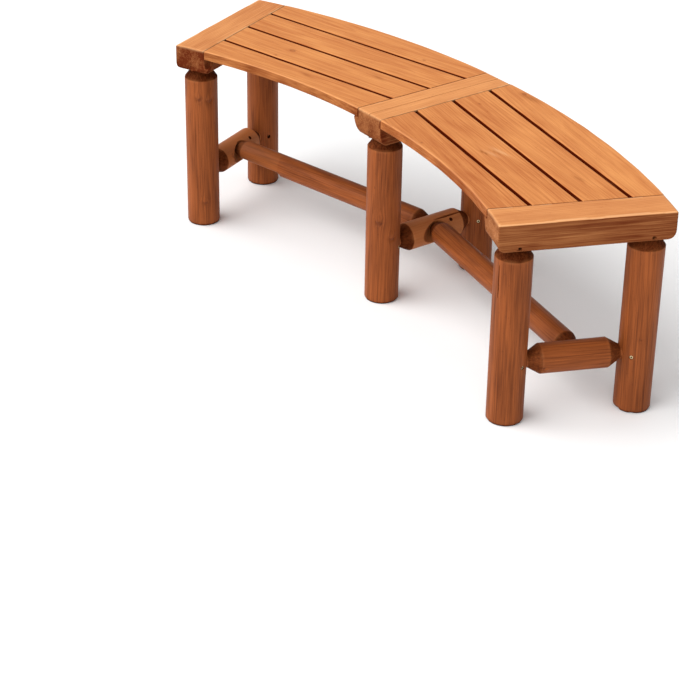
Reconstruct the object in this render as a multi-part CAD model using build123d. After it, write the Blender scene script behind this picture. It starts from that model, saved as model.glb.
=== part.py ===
from build123d import *
import math
import os

os.makedirs("parts", exist_ok=True)

# A curved log bench: two bays of straight slats between three flattened-log beams, on six log legs.
# Millimetres. +Z is up, +X runs along the bench and +Y points to its outer (convex) side.
# The origin is on the floor, under the middle of the bench's box.

# Seat
seat_height = 430.0        # floor to the top of the slats
inner_radius = 1341.0      # plan arc of the front edge
seat_depth = 343.0         # front arc to back arc
bay_angle = 24.15          # from the middle beam to the outer face of an end beam, degrees
edge_round = 3.0           # worn top arris along both arcs

# Slats
slat_thickness = 20.0
slat_gap = 8.0
slats_per_bay = 4
first_gap_share = 0.191    # of the seat's depth, from the front arc to the first gap, at a bay's middle
slat_pitch_share = 0.278   # of the seat's depth, from one gap to the next
slat_arris = 2.0           # rounding of the long edges
joint_gap = 0.5            # open line between a slat's end and a beam
joint_arris = 1.0          # bevel on both sides of that line

# Beams
beam_height = 59.0
end_tongue = 74.0          # width of an end beam's top strip
middle_tongue = 76.0       # width of the middle beam's top strip
end_ledge = 15.0           # step beside an end beam's strip that carries the slat ends
beam_end_round = 20.0      # lower corners at both ends of a beam
outer_top_round = 5.0      # outer face to top
outer_bottom_round = 8.0   # outer face to underside
inner_bottom_round = 10.0  # inner side to underside
ledge_tip_round = 3.0
end_lean = 13.0            # an end beam's inner side leans in below its ledge
middle_left_ledge = 15.0   # the middle beam is an uneven half log, wider on its left at the top
middle_left_lean = 17.0
middle_right_ledge = 3.0
middle_right_flare = 5.0   # its right side spreads out below its ledge
glue_line_width = 1.6      # groove where the middle beam's two staves are glued
glue_line_depth = 1.2

# Legs
leg_diameter = 73.0
leg_inset = 43.0           # leg axis to the nearest arc of the seat
leg_neck_diameter = 44.0   # top of the cone, where it shoulders against the beam
log_cone_angle = 32.0      # half angle of every turned cone, from its axis
leg_shoulder_round = 6.0
foot_round = 4.0
leg_tenon_diameter = 38.0
leg_tenon_length = 38.0
tenon_end_room = 2.0       # a tenon's end to the bottom of its hole
tenon_clearance = 0.2      # a tenon to the wall of its hole
tenon_chamfer = 2.0

# Cross rails, from a front leg to the back leg of its pair
cross_rail_diameter = 60.0
cross_rail_height = 124.0  # axis above the floor
rail_tenon_diameter = 30.0
rail_tenon_length = 44.0   # how far it enters the leg
cross_rail_rim_round = 3.0
shoulder_clearance = 0.4   # foot of a rail's cone to the leg

# Long rails, from cross rail to cross rail
long_rail_diameter = 50.0
long_rail_height = 130.0
long_rail_back_shift = 6.0  # axis behind the middle of the cross rails
long_rail_rim_round = 12.0
nose_diameter = 30.0
nose_taper_length = 27.0
nose_round = 3.0
nose_depth = 17.0          # how deep the nose sits in the cross rail, from its surface
nose_clearance = 0.3
pocket_flare = 45.0        # half angle of the notch that receives the nose

# Screws and dowels
screw_head_diameter = 6.6
screw_head_height = 2.4
screw_head_sink = 1.0      # head below the surface
screw_shank_diameter = 4.0
screw_clearance = 0.15
leg_screw_length = 45.0
leg_screw_height = 8.0     # above the beam's underside
leg_screw_sink = 8.0       # its head lies deep in its hole
rail_screw_length = 50.0
rail_screw_turn = 35.0     # round the leg, from square to the rail towards it, degrees
nose_screw_offset = 32.0   # its hole behind the long rail's axis
nose_screw_rise = 45.0     # its hole above the side of the cross rail, degrees
nose_screw_sink = 6.5
nose_screw_bite = 4.0      # its point from the nose's end
nose_screw_across = 4.0    # its point past the long rail's axis
nose_screw_drop = 12.0     # its point below the long rail's axis
dowel_diameter = 8.0
dowel_length = 40.0
dowel_end_room = 0.5
dowel_chamfer = 1.0
dowel_spacing = 26.0
dowel_edge = 16.0          # from the straight edge of a front or back slat to its nearer dowel

# Drying checks: narrow splits that open along the grain of the logs
check_width = 1.8
check_depth = 7.0
leg_check_length = 68.0
leg_check_drop = 124.0     # its middle below the seat top
leg_check_turn = -152.0    # round the leg, from its cross rail, degrees
rail_check_length = 66.0
rail_check_shift = 34.0    # its middle behind the middle of the rail
rail_check_turn = 12.0     # from the top of the rail towards its left side, degrees

# Places worked out from the sizes above
outer_radius = inner_radius + seat_depth
first_gap = first_gap_share * seat_depth
slat_pitch = slat_pitch_share * seat_depth
beam_bottom = seat_height - beam_height
slat_bottom = seat_height - slat_thickness
half_bay = bay_angle / 2
front_leg_radius = inner_radius + leg_inset
back_leg_radius = outer_radius - leg_inset
rail_middle_radius = (front_leg_radius + back_leg_radius) / 2
leg_radius = leg_diameter / 2
cross_rail_radius = cross_rail_diameter / 2
front_corner = inner_radius * math.cos(math.radians(bay_angle))
arc_centre_y = -(front_corner + outer_radius) / 2
spare = 30.0               # how far a blank or a cutter runs past what it is cut by


def along_y(profile, start, length):
    """The solid of an upright profile (X across, Y up) carried along +Y from start."""
    return Pos(0, start + length, 0) * Rot(90, 0, 0) * extrude(profile, length)


def turned(points):
    """The solid turned about the Y axis from (radius, distance along the axis) points."""
    outline = Polyline(*points, close=True)
    return revolve(make_face(outline), Axis.Y)


def upright(shape):
    """A solid turned about +Y, stood up along +Z."""
    return Rot(90, 0, 0) * shape


def cone_length(wide, narrow):
    """Length of a turned cone between two diameters."""
    return (wide - narrow) / 2 / math.tan(math.radians(log_cone_angle))


def screw(length, sink=screw_head_sink):
    """A countersunk screw driven along -Y through a surface at the origin, its head below the surface."""
    head = Pos(0, -sink, 0) * turned([
        (0, 0),
        (screw_head_diameter / 2, 0),
        (screw_head_diameter / 2, -screw_head_height / 3),
        (screw_shank_diameter / 2, -screw_head_height),
        (0, -screw_head_height),
    ])
    shank = turned([
        (0, -sink - screw_head_height / 2),
        (screw_shank_diameter / 2, -sink - screw_head_height / 2),
        (screw_shank_diameter / 2, screw_shank_diameter - length),
        (0, -length),
    ])
    return head + shank


def screw_bore(length, sink=screw_head_sink):
    """The room that a screw needs: its hole, and a wider one for its head, open to the outside."""
    shank = screw_shank_diameter / 2 + screw_clearance
    head = screw_head_diameter / 2 + screw_clearance
    floor = -sink - screw_head_height - screw_clearance
    return turned([
        (0, spare),
        (head, spare),
        (head, floor),
        (shank, floor),
        (shank, -length - screw_clearance),
        (0, -length - screw_clearance),
    ])


def dowel():
    """A dowel along X, centred at the origin."""
    peg = Rot(0, 90, 0) * Cylinder(dowel_diameter / 2, dowel_length)
    return chamfer(peg.edges().filter_by(GeomType.CIRCLE), dowel_chamfer)


def dowel_bore():
    radius = dowel_diameter / 2 + screw_clearance
    return Rot(0, 90, 0) * Cylinder(radius, dowel_length + 2 * dowel_end_room)


def arc_cutters(bottom, lower_round):
    """The front and back cutters that trim beams and slats to the two arcs, turned about +Z."""
    height = seat_height - bottom
    middle = Pos(inner_radius + seat_depth / 2, bottom + height / 2)
    kept = middle * Rectangle(seat_depth, height)
    kept = fillet(kept.vertices().group_by(Axis.Y)[0], lower_round)
    kept = fillet(kept.vertices().group_by(Axis.Y)[-1], edge_round)
    waste = middle * Rectangle(seat_depth + 6 * spare, height + 2 * spare)
    waste -= middle * Rectangle(seat_depth / 2, height + 2 * spare)
    waste -= kept
    turn = Rot(0, 0, 90 - half_bay)
    return [
        revolve(turn * (Plane.XZ * face), Axis.Z, revolution_arc=2 * half_bay) for face in waste.faces()
    ]


def slat_edges(number):
    """The two distances from the arc centre between which a slat lies, slat 1 being the front one."""
    first = inner_radius + first_gap
    near = first + (number - 2) * slat_pitch + slat_gap / 2
    far = first + (number - 1) * slat_pitch - slat_gap / 2
    if number == 1:
        near = inner_radius * math.cos(math.radians(half_bay)) - spare
    if number == slats_per_bay:
        far = outer_radius + spare
    return near, far


def dowel_distances(number):
    """Distances from the arc centre of a slat's two dowels."""
    near, far = slat_edges(number)
    centre = (near + far) / 2
    if number == 1:
        centre = far - dowel_edge - dowel_spacing / 2
    if number == slats_per_bay:
        centre = near + dowel_edge + dowel_spacing / 2
    return centre - dowel_spacing / 2, centre + dowel_spacing / 2


def bay_joint(distance, tongue):
    """Place along a bay, from its middle, where a slat line at this distance meets a beam's strip."""
    lean = math.radians(half_bay)
    return (distance * math.sin(lean) - tongue) / math.cos(lean)


def bay_dowel_places(number):
    """Places of a slat's dowels in the bay's frame: two where it meets each beam."""
    height = seat_height - slat_thickness / 2
    places = []
    for distance in dowel_distances(number):
        places.append(Pos(-bay_joint(distance, middle_tongue / 2), distance, height))
        places.append(Pos(bay_joint(distance, end_tongue), distance, height))
    return places


def bay_outline():
    """Prism between the two beams' strips of a bay, in the bay's frame, bevelled round its top."""
    corners = []
    for distance in (front_corner, outer_radius + spare):
        corners.append((-bay_joint(distance, middle_tongue / 2 + joint_gap), distance))
        corners.append((bay_joint(distance, end_tongue + joint_gap), distance))
    outline = Polyline(corners[0], corners[1], corners[3], corners[2], close=True)
    prism = Pos(0, 0, slat_bottom) * extrude(make_face(outline), slat_thickness)
    return chamfer(prism.edges().group_by(Axis.Z)[-1], joint_arris)


def slat(number, cutters, outline):
    """One slat of a bay, in the bay's frame: a planed board trimmed by the two beams and the two arcs."""
    near, far = slat_edges(number)
    board = Rectangle(far - near, slat_thickness)
    board = fillet(board.vertices(), slat_arris)
    length = 2 * outer_radius * math.sin(math.radians(half_bay))
    blank = Rot(0, 0, -90) * along_y(board, -length / 2, length)
    blank = Pos(0, (near + far) / 2, slat_bottom + slat_thickness / 2) * blank
    piece = (blank & outline) - cutters
    for place in bay_dowel_places(number):
        piece -= place * dowel_bore()
    return piece


def end_beam_section():
    """Upright section of the right end beam, its outer face at X = 0."""
    inner = -end_tongue - end_ledge
    corners = [
        (0, seat_height),
        (0, beam_bottom),
        (inner + end_lean, beam_bottom),
        (inner, slat_bottom),
        (-end_tongue, slat_bottom),
        (-end_tongue, seat_height),
    ]
    section = make_face(Polyline(*corners, close=True))
    rounds = [outer_top_round, outer_bottom_round, inner_bottom_round, ledge_tip_round]
    for corner, size in zip(corners, rounds):
        section = fillet(section.vertices().sort_by_distance((*corner, 0))[0], size)
    return chamfer(section.vertices().sort_by_distance((*corners[-1], 0))[0], joint_arris)


def middle_beam_section():
    """Upright section of the middle beam: a half log with a strip, two ledges and a glue line."""
    half = middle_tongue / 2
    left = -half - middle_left_ledge
    right = half + middle_right_ledge
    corners = [
        (right, slat_bottom),
        (right + middle_right_flare, beam_bottom),
        (left + middle_left_lean, beam_bottom),
        (left, slat_bottom),
        (-half, slat_bottom),
        (-half, seat_height),
        (half, seat_height),
        (half, slat_bottom),
    ]
    section = make_face(Polyline(*corners, close=True))
    rounds = [ledge_tip_round / 2, inner_bottom_round, inner_bottom_round, ledge_tip_round]
    for corner, size in zip(corners, rounds):
        section = fillet(section.vertices().sort_by_distance((*corner, 0))[0], size)
    for corner in corners[5:7]:
        section = chamfer(section.vertices().sort_by_distance((*corner, 0))[0], joint_arris)
    groove = make_face(Polyline(
        (-glue_line_width / 2, seat_height),
        (0, seat_height - glue_line_depth),
        (glue_line_width / 2, seat_height),
        close=True,
    ))
    return section - groove


def beam_blank(section, cutters):
    """A beam of this section, trimmed to the arcs, in the frame of its radius."""
    return along_y(section, inner_radius - spare, seat_depth + 2 * spare) - cutters


def leg_hole():
    """The blind hole for a leg's tenon, up from the beam's underside, about the leg's axis."""
    depth = leg_tenon_length + tenon_end_room
    return Pos(0, 0, beam_bottom + depth / 2) * Cylinder(leg_tenon_diameter / 2 + tenon_clearance, depth)


def leg_screw_place(face, side):
    """Place of a leg-tenon screw on a beam's face, side +1 for a face to the right of the leg."""
    return Pos(face, 0, beam_bottom + leg_screw_height) * Rot(0, 0, -90 * side)


def leg(rail_side, screw_side, screw_face):
    """A leg about +Z. The cross rail enters on the +Y (rail_side 1) or -Y (-1) side."""
    cone = cone_length(leg_diameter, leg_neck_diameter)
    outline = Polyline(
        (0, 0),
        (leg_radius, 0),
        (leg_radius, beam_bottom - cone),
        (leg_neck_diameter / 2, beam_bottom),
        (leg_tenon_diameter / 2, beam_bottom),
        (leg_tenon_diameter / 2, beam_bottom + leg_tenon_length),
        (0, beam_bottom + leg_tenon_length),
        close=True,
    )
    section = make_face(outline)
    corners = [
        ((leg_radius, 0), foot_round),
        ((leg_radius, beam_bottom - cone), leg_shoulder_round),
    ]
    for corner, size in corners:
        section = fillet(section.vertices().sort_by_distance((*corner, 0))[0], size)
    top = (leg_tenon_diameter / 2, beam_bottom + leg_tenon_length)
    section = chamfer(section.vertices().sort_by_distance((*top, 0))[0], tenon_chamfer)
    log = upright(revolve(section, Axis.Y))
    depth = rail_tenon_length + tenon_end_room
    mortise = Rot(90, 0, 0) * Cylinder(rail_tenon_diameter / 2 + tenon_clearance, depth + spare)
    centre = leg_radius - depth / 2 + spare / 2
    log -= Pos(0, rail_side * centre, cross_rail_height) * mortise
    log -= rail_screw_place(rail_side) * screw_bore(rail_screw_length)
    log -= leg_screw_place(screw_face, screw_side) * screw_bore(leg_screw_length, leg_screw_sink)
    return log


def rail_screw_place(rail_side):
    """Place of the screw that locks a cross rail's tenon, on the leg's side, turned towards the rail."""
    turn = -90 + rail_side * rail_screw_turn
    return Pos(0, 0, cross_rail_height) * Rot(0, 0, turn) * Pos(0, leg_radius, 0)


def cross_rail():
    """A cross rail about +Y, centred at the origin, with a tenon in each leg."""
    half_gap = (back_leg_radius - front_leg_radius) / 2 - leg_radius
    neck = half_gap - shoulder_clearance
    rim = neck - cone_length(cross_rail_diameter, rail_tenon_diameter)
    end = half_gap + rail_tenon_length
    quarter = Polyline(
        (0, 0),
        (cross_rail_radius, 0),
        (cross_rail_radius, rim),
        (rail_tenon_diameter / 2, neck),
        (rail_tenon_diameter / 2, end),
        (0, end),
        close=True,
    )
    section = make_face(quarter)
    shoulder = (cross_rail_radius, rim, 0)
    section = fillet(section.vertices().sort_by_distance(shoulder)[0], cross_rail_rim_round)
    tip = (rail_tenon_diameter / 2, end, 0)
    section = chamfer(section.vertices().sort_by_distance(tip)[0], tenon_chamfer)
    half = revolve(section, Axis.Y)
    return half + mirror(half, about=Plane.XZ)


def pair_place(side):
    """Middle of the leg pair under a beam: side -1 left, 0 middle, 1 right."""
    turn = Rot(0, 0, -side * bay_angle)
    return Pos(0, arc_centre_y, 0) * turn * Pos(-side * end_tongue / 2, rail_middle_radius, 0)


def long_rail_ends():
    """Plan points on the middle pair's and the right pair's axes, between which the right long rail runs."""
    shift = Pos(0, long_rail_back_shift, 0)
    start = (pair_place(0) * shift).position
    end = (pair_place(1) * shift).position
    return start, end


def long_rail_place():
    """Middle of the right long rail, with +Y along it towards the right end."""
    start, end = long_rail_ends()
    middle = (start + end) / 2
    turn = math.degrees(math.atan2(end.Y - start.Y, end.X - start.X)) - 90
    return Pos(middle.X, middle.Y, long_rail_height) * Rot(0, 0, turn)


def nose_distance():
    """Half the long rail's length: from its middle to a nose."""
    start, end = long_rail_ends()
    return (end - start).length / 2 - (cross_rail_radius - nose_depth)


def long_rail():
    """The long rail about +Y, centred at the origin."""
    tip = nose_distance() - nose_clearance
    rim = tip - nose_taper_length
    section = make_face(Polyline(
        (0, 0),
        (long_rail_diameter / 2, 0),
        (long_rail_diameter / 2, rim),
        (nose_diameter / 2, tip),
        (0, tip),
        close=True,
    ))
    shoulder = (long_rail_diameter / 2, rim, 0)
    section = fillet(section.vertices().sort_by_distance(shoulder)[0], long_rail_rim_round)
    nose = (nose_diameter / 2, tip, 0)
    section = fillet(section.vertices().sort_by_distance(nose)[0], nose_round)
    half = revolve(section, Axis.Y)
    return half + mirror(half, about=Plane.XZ)


def nose_pocket(end):
    """The flared notch for the nose at one end of the long rail, +1 or -1, in the long rail's frame."""
    floor = nose_distance()
    small = nose_diameter / 2 + nose_clearance
    depth = cross_rail_diameter
    large = small + depth * math.tan(math.radians(pocket_flare))
    cutter = turned([(0, floor), (small, floor), (large, floor - depth), (0, floor - depth)])
    return cutter if end > 0 else mirror(cutter, about=Plane.XZ)


def nose_screw_line(end):
    """Where the slanting screw through a cross rail starts, and where its point stands in the nose."""
    pair = pair_place(1) if end > 0 else pair_place(0)
    rise = math.radians(nose_screw_rise)
    side = -end * cross_rail_radius * math.cos(rise)
    up = cross_rail_height + cross_rail_radius * math.sin(rise)
    start = pair * Pos(side, long_rail_back_shift + nose_screw_offset, up)
    along = end * (nose_distance() - nose_clearance - nose_screw_bite)
    point = long_rail_place() * Pos(nose_screw_across, along, -nose_screw_drop)
    return start.position, point.position


def nose_screw_place(end):
    """Place of that screw at one end of the right long rail, +1 or -1."""
    start, point = nose_screw_line(end)
    return Plane(origin=start, z_dir=start - point).location * Rot(-90, 0, 0)


def nose_screw_length(end):
    start, point = nose_screw_line(end)
    return (start - point).length


def drying_check(length):
    """A thin lens-shaped split, long along Y and sunk along Z from the origin."""
    bulge = check_width / 2
    lens = make_face(
        ThreePointArc((0, -length / 2), (bulge, 0), (0, length / 2))
        + ThreePointArc((0, length / 2), (-bulge, 0), (0, -length / 2))
    )
    return Pos(0, 0, -check_depth) * extrude(lens, check_depth + spare)


# The bench, piece by piece

pieces = {}

beam_cutters = arc_cutters(beam_bottom, beam_end_round)
slat_cutters = arc_cutters(slat_bottom, slat_arris)

# Right-hand pieces in the frame of their radius or bay, with the arc centre at the origin
bay_cut = bay_outline()
bay = Rot(0, 0, -half_bay)
bay_slats = [slat(number, slat_cutters, bay_cut) for number in range(1, slats_per_bay + 1)]
bay_dowels = [
    bay * place for number in range(1, slats_per_bay + 1) for place in bay_dowel_places(number)
]

end_beam = beam_blank(end_beam_section(), beam_cutters)
end_leg_axis = -end_tongue / 2
screw_level = 1 - leg_screw_height / (beam_height - slat_thickness)
middle_face = middle_left_lean * screw_level - middle_tongue / 2 - middle_left_ledge
leg_screw_bore = screw_bore(leg_screw_length, leg_screw_sink)
for leg_place in (front_leg_radius, back_leg_radius):
    leg_top = Pos(end_leg_axis, leg_place, 0)
    end_beam -= leg_top * leg_hole()
    end_beam -= leg_top * leg_screw_place(-end_leg_axis, 1) * leg_screw_bore
end_beam = Rot(0, 0, -bay_angle) * end_beam
for place in bay_dowels:
    end_beam -= place * dowel_bore()

middle_beam = beam_blank(middle_beam_section(), beam_cutters)
for leg_place in (front_leg_radius, back_leg_radius):
    leg_top = Pos(0, leg_place, 0)
    middle_beam -= leg_top * leg_hole()
    middle_beam -= leg_top * leg_screw_place(middle_face, -1) * leg_screw_bore
for place in bay_dowels:
    bore = place * dowel_bore()
    middle_beam -= bore
    middle_beam -= mirror(bore, about=Plane.YZ)

to_bench = Pos(0, arc_centre_y, 0)
pieces["beam_right"] = to_bench * end_beam
pieces["beam_left"] = mirror(pieces["beam_right"], about=Plane.YZ)
pieces["beam_middle"] = to_bench * middle_beam
for number, board in enumerate(bay_slats, start=1):
    placed = to_bench * bay * board
    pieces[f"slat_right_{number}"] = placed
    pieces[f"slat_left_{number}"] = mirror(placed, about=Plane.YZ)

# Legs and their screws
leg_screws = []
rail_screws = []
sides = {"left": (-1, -1, end_leg_axis), "middle": (0, -1, middle_face), "right": (1, 1, -end_leg_axis)}
for name, (side, screw_side, screw_face) in sides.items():
    for position, distance, rail_side in (("front", front_leg_radius, 1), ("back", back_leg_radius, -1)):
        place = pair_place(side) * Pos(0, distance - rail_middle_radius, 0)
        log = leg(rail_side, screw_side, screw_face)
        if name == "right" and position == "front":
            split = Pos(0, leg_radius, seat_height - leg_check_drop) * Rot(-90, 0, 0)
            log -= Rot(0, 0, leg_check_turn) * split * drying_check(leg_check_length)
        pieces[f"leg_{name}_{position}"] = place * log
        deep_screw = screw(leg_screw_length, leg_screw_sink)
        leg_screws.append(place * leg_screw_place(screw_face, screw_side) * deep_screw)
        rail_screws.append(place * rail_screw_place(rail_side) * screw(rail_screw_length))

# Long rails, their notches in the cross rails and the slanting screws
right_rail_place = long_rail_place()
right_rail = right_rail_place * long_rail()
nose_screws = {}
nose_bores = {}
for end in (-1, 1):
    length = nose_screw_length(end)
    nose_screws[end] = nose_screw_place(end) * screw(length, nose_screw_sink)
    nose_bores[end] = nose_screw_place(end) * screw_bore(length, nose_screw_sink)
    right_rail -= nose_bores[end]
pieces["long_rail_right"] = right_rail
pieces["long_rail_left"] = mirror(right_rail, about=Plane.YZ)

middle_notch = right_rail_place * nose_pocket(-1)
middle_rail = pair_place(0) * Pos(0, 0, cross_rail_height) * cross_rail()
for cutter in (middle_notch, nose_bores[-1]):
    middle_rail -= cutter
    middle_rail -= mirror(cutter, about=Plane.YZ)
rail_axis = pair_place(0) * Pos(0, 0, cross_rail_height)
split = Rot(0, -rail_check_turn, 0) * Pos(0, rail_check_shift, cross_rail_radius)
middle_rail -= rail_axis * split * drying_check(rail_check_length)
pieces["cross_rail_middle"] = middle_rail

end_rail = pair_place(1) * Pos(0, 0, cross_rail_height) * cross_rail()
end_rail -= right_rail_place * nose_pocket(1)
end_rail -= nose_bores[1]
pieces["cross_rail_right"] = end_rail
pieces["cross_rail_left"] = mirror(end_rail, about=Plane.YZ)

# Cross rails take the rail screws' holes
for name, (side, _, _) in sides.items():
    for distance, rail_side in ((front_leg_radius, 1), (back_leg_radius, -1)):
        place = pair_place(side) * Pos(0, distance - rail_middle_radius, 0) * rail_screw_place(rail_side)
        pieces[f"cross_rail_{name}"] -= place * screw_bore(rail_screw_length)

# Fasteners, one node for each kind
right_nose_screws = list(nose_screws.values())
all_nose_screws = right_nose_screws + [mirror(piece, about=Plane.YZ) for piece in right_nose_screws]
dowels = [to_bench * place * dowel() for place in bay_dowels]
all_dowels = dowels + [mirror(piece, about=Plane.YZ) for piece in dowels]
pieces["leg_tenon_screws"] = Compound(children=leg_screws)
pieces["cross_rail_screws"] = Compound(children=rail_screws)
pieces["long_rail_screws"] = Compound(children=all_nose_screws)
pieces["slat_dowels"] = Compound(children=all_dowels)

for name, piece in pieces.items():
    export_step(piece, f"parts/{name}.step")
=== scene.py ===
# %% [markdown]
# # A curved log bench
# Three half logs lie across the bench like spokes of a wheel, and four planed boards span each of
# the two bays between them. The front and back boards are sawn to two arcs about one far centre.
# Six turned logs are the legs, three short rails join them in pairs, and two long rails run
# between the pairs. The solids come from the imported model. Here each piece of wood is made again
# as a surface with the unevenness of real logs, and every surface gets its stained grain.

# %% Load the fixed frame
import math
import bpy
import numpy as np
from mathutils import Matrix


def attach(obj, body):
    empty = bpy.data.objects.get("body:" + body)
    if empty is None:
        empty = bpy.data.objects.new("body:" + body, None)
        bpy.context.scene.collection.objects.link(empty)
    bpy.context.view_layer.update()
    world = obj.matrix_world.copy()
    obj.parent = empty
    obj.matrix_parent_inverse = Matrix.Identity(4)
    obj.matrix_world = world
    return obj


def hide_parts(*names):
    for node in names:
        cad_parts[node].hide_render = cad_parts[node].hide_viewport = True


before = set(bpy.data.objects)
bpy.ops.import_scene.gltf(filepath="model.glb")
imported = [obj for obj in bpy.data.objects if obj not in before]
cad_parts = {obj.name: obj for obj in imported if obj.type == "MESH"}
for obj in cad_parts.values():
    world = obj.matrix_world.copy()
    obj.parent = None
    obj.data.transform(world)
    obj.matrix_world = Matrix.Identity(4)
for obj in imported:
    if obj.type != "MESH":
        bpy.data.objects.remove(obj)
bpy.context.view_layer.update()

# %% [markdown]
# ## The bench's own geometry
# Everything is laid out from one centre, about 1.45 m in front of the bench. A place is given by
# an angle from the middle beam, a distance to the right of that radius, a distance out from the
# centre and a height, all in millimetres. One function turns these into the shared frame, so a
# board, a beam and a leg can each be drawn straight and then be set where it belongs.

# %% Sizes in millimetres
MM = 0.001
INNER = 1341.0
DEPTH = 343.0
OUTER = INNER + DEPTH
BAY_ANGLE = 24.15
HALF_BAY = BAY_ANGLE / 2
ARC_CENTRE_Y = -(INNER * math.cos(math.radians(BAY_ANGLE)) + OUTER) / 2
SEAT_TOP = 430.0
SLAT_BOTTOM = 410.0
BEAM_BOTTOM = 371.0
END_STRIP = 74.0
MIDDLE_STRIP = 76.0
LEG_RADIUS = 36.5
FRONT_LEGS = INNER + 43.0
BACK_LEGS = OUTER - 43.0
PAIR_MIDDLE = (FRONT_LEGS + BACK_LEGS) / 2
CROSS_RAIL_HEIGHT = 124.0
LONG_RAIL_HEIGHT = 130.0


def spot(angle, right, out, up):
    """Frame coordinates of a place: the radius at this angle is turned by -angle about the centre.
    x = right cos a + out sin a, y = out cos a - right sin a + centre, z = up."""
    a = math.radians(angle)
    x = right * math.cos(a) + out * math.sin(a)
    y = out * math.cos(a) - right * math.sin(a) + ARC_CENTRE_Y
    return np.stack(np.broadcast_arrays(x, y, up), axis=-1)


print("arc centre at y =", round(ARC_CENTRE_Y, 1), "mm; bench spans", round(2 * OUTER * math.sin(
    math.radians(BAY_ANGLE)), 1), "mm")

# %% [markdown]
# ## Small tools for uneven wood
# Peeled and turned logs are never quite true. A slow wander made of a few sine waves stands for
# that: it is smooth, it repeats exactly each time, and its size in millimetres can be chosen.
# Sampling is kept coarse where nothing happens and fine only round a screw hole or a split.

# %% Wander and stations
def wander(seed, size, *where):
    """A smooth value between about -1 and 1: a quarter of the sum of eight sine waves, each near
    `size` mm long, running in chance directions through the coordinates `where`."""
    chance = np.random.default_rng(seed)
    total = 0.0
    for _ in range(8):
        heading = chance.normal(size=len(where))
        heading /= np.linalg.norm(heading)
        length = size * chance.uniform(0.7, 1.5)
        phase = sum(h * w for h, w in zip(heading, where)) * (2 * math.pi / length)
        total = total + np.sin(phase + chance.uniform(0, 2 * math.pi))
    return total / 4


def stations(low, high, step, spots=(), fine=0.5, reach=5.0):
    """Rising values from low to high, `step` apart, but `fine` apart within `reach` of a spot."""
    parts = [np.linspace(low, high, max(2, int(math.ceil((high - low) / step)) + 1))]
    parts += [np.arange(s - reach, s + reach + fine / 2, fine) for s in spots]
    merged = np.unique(np.concatenate(parts))
    merged = merged[(merged >= low) & (merged <= high)]
    keep = np.concatenate([[True], np.diff(merged) > fine * 0.4])
    return merged[keep]


print("stations round one spot:", stations(0, 20, 10, [10], 2.0))

# %% Rounded outlines
def outline(corners, rounds, step=4.0, arc_step=1.0, closed=False):
    """Points along straight runs joined by arcs, and a mark that is 1 on the arcs.
    Where the line turns by t, an arc of radius r begins r tan(t/2) before the corner."""
    corners = [np.array(c, float) for c in corners]
    count = len(corners)
    runs = []
    for i, (corner, radius) in enumerate(zip(corners, rounds)):
        if radius <= 0 or (not closed and i in (0, count - 1)):
            runs.append((corner[None, :], 0.0))
            continue
        before, after = corner - corners[i - 1], corners[(i + 1) % count] - corner
        before, after = before / np.linalg.norm(before), after / np.linalg.norm(after)
        turn = math.atan2(before[0] * after[1] - before[1] * after[0], before @ after)
        back = radius * math.tan(abs(turn) / 2)
        side = np.array([-before[1], before[0]]) * math.copysign(1, turn)
        sweep = np.linspace(0, turn, max(3, int(abs(turn) * radius / arc_step) + 2))
        arm = -side * radius
        turned = np.stack([
            arm[0] * np.cos(sweep) - arm[1] * np.sin(sweep),
            arm[0] * np.sin(sweep) + arm[1] * np.cos(sweep),
        ], axis=-1)
        runs.append((corner - before * back + side * radius + turned, 1.0))
    points, marks = [], []
    for i, (run, mark) in enumerate(runs):
        points.append(run)
        marks.append(np.full(len(run), mark))
        if i < count - 1 or closed:
            start, stop = run[-1], runs[(i + 1) % count][0][0]
            gaps = max(1, int(math.ceil(np.linalg.norm(stop - start) / step)))
            share = np.linspace(0, 1, gaps + 1)[1:-1, None]
            points.append(start + share * (stop - start))
            marks.append(np.zeros(gaps - 1))
    return np.concatenate(points), np.concatenate(marks)


test_line, test_marks = outline([(0, 0), (10, 0), (10, 10)], [0, 3, 0], step=2.0)
print("a rounded corner takes", int(test_marks.sum()), "points of", len(test_line))

# %% [markdown]
# ## From rings to a mesh
# Logs, beams and boards are all tubes: a closed ring of points carried along the piece, with rings
# that shrink to a point at both ends. So one function lays any of them as a mesh. It also stores,
# on every point, where that point lies in the tree that the wood came from. The grain is drawn
# from that, so growth rings cross a sawn end as circles and run along a face as lines, as in real
# timber.

# %% Faces and end points
def tube_faces(rows, around, start):
    """Corner numbers of the quads between neighbouring rings, and of the two fans at the ends."""
    row, column = np.meshgrid(np.arange(rows - 1), np.arange(around), indexing="ij")
    following = (column + 1) % around
    quads = np.stack([
        row * around + column,
        row * around + following,
        (row + 1) * around + following,
        (row + 1) * around + column,
    ], axis=-1).reshape(-1, 4) + start
    turn = np.arange(around)
    ahead = (turn + 1) % around
    final = (rows - 1) * around
    first = np.stack([np.full(around, rows * around), ahead, turn], axis=-1)
    last = np.stack([np.full(around, rows * around + 1), final + turn, final + ahead], axis=-1)
    return quads, np.concatenate([first, last]) + start


def with_ends(values):
    """The values of all rings as one list, then the mean of the first and of the last ring."""
    flat = values.reshape(values.shape[0] * values.shape[1], *values.shape[2:])
    return np.concatenate([flat, *(values[i].mean(0, keepdims=True) for i in (0, -1))])


print("a closed tube of 10 rings of 12 points has", sum(map(len, tube_faces(10, 12, 0))), "faces")

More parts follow.
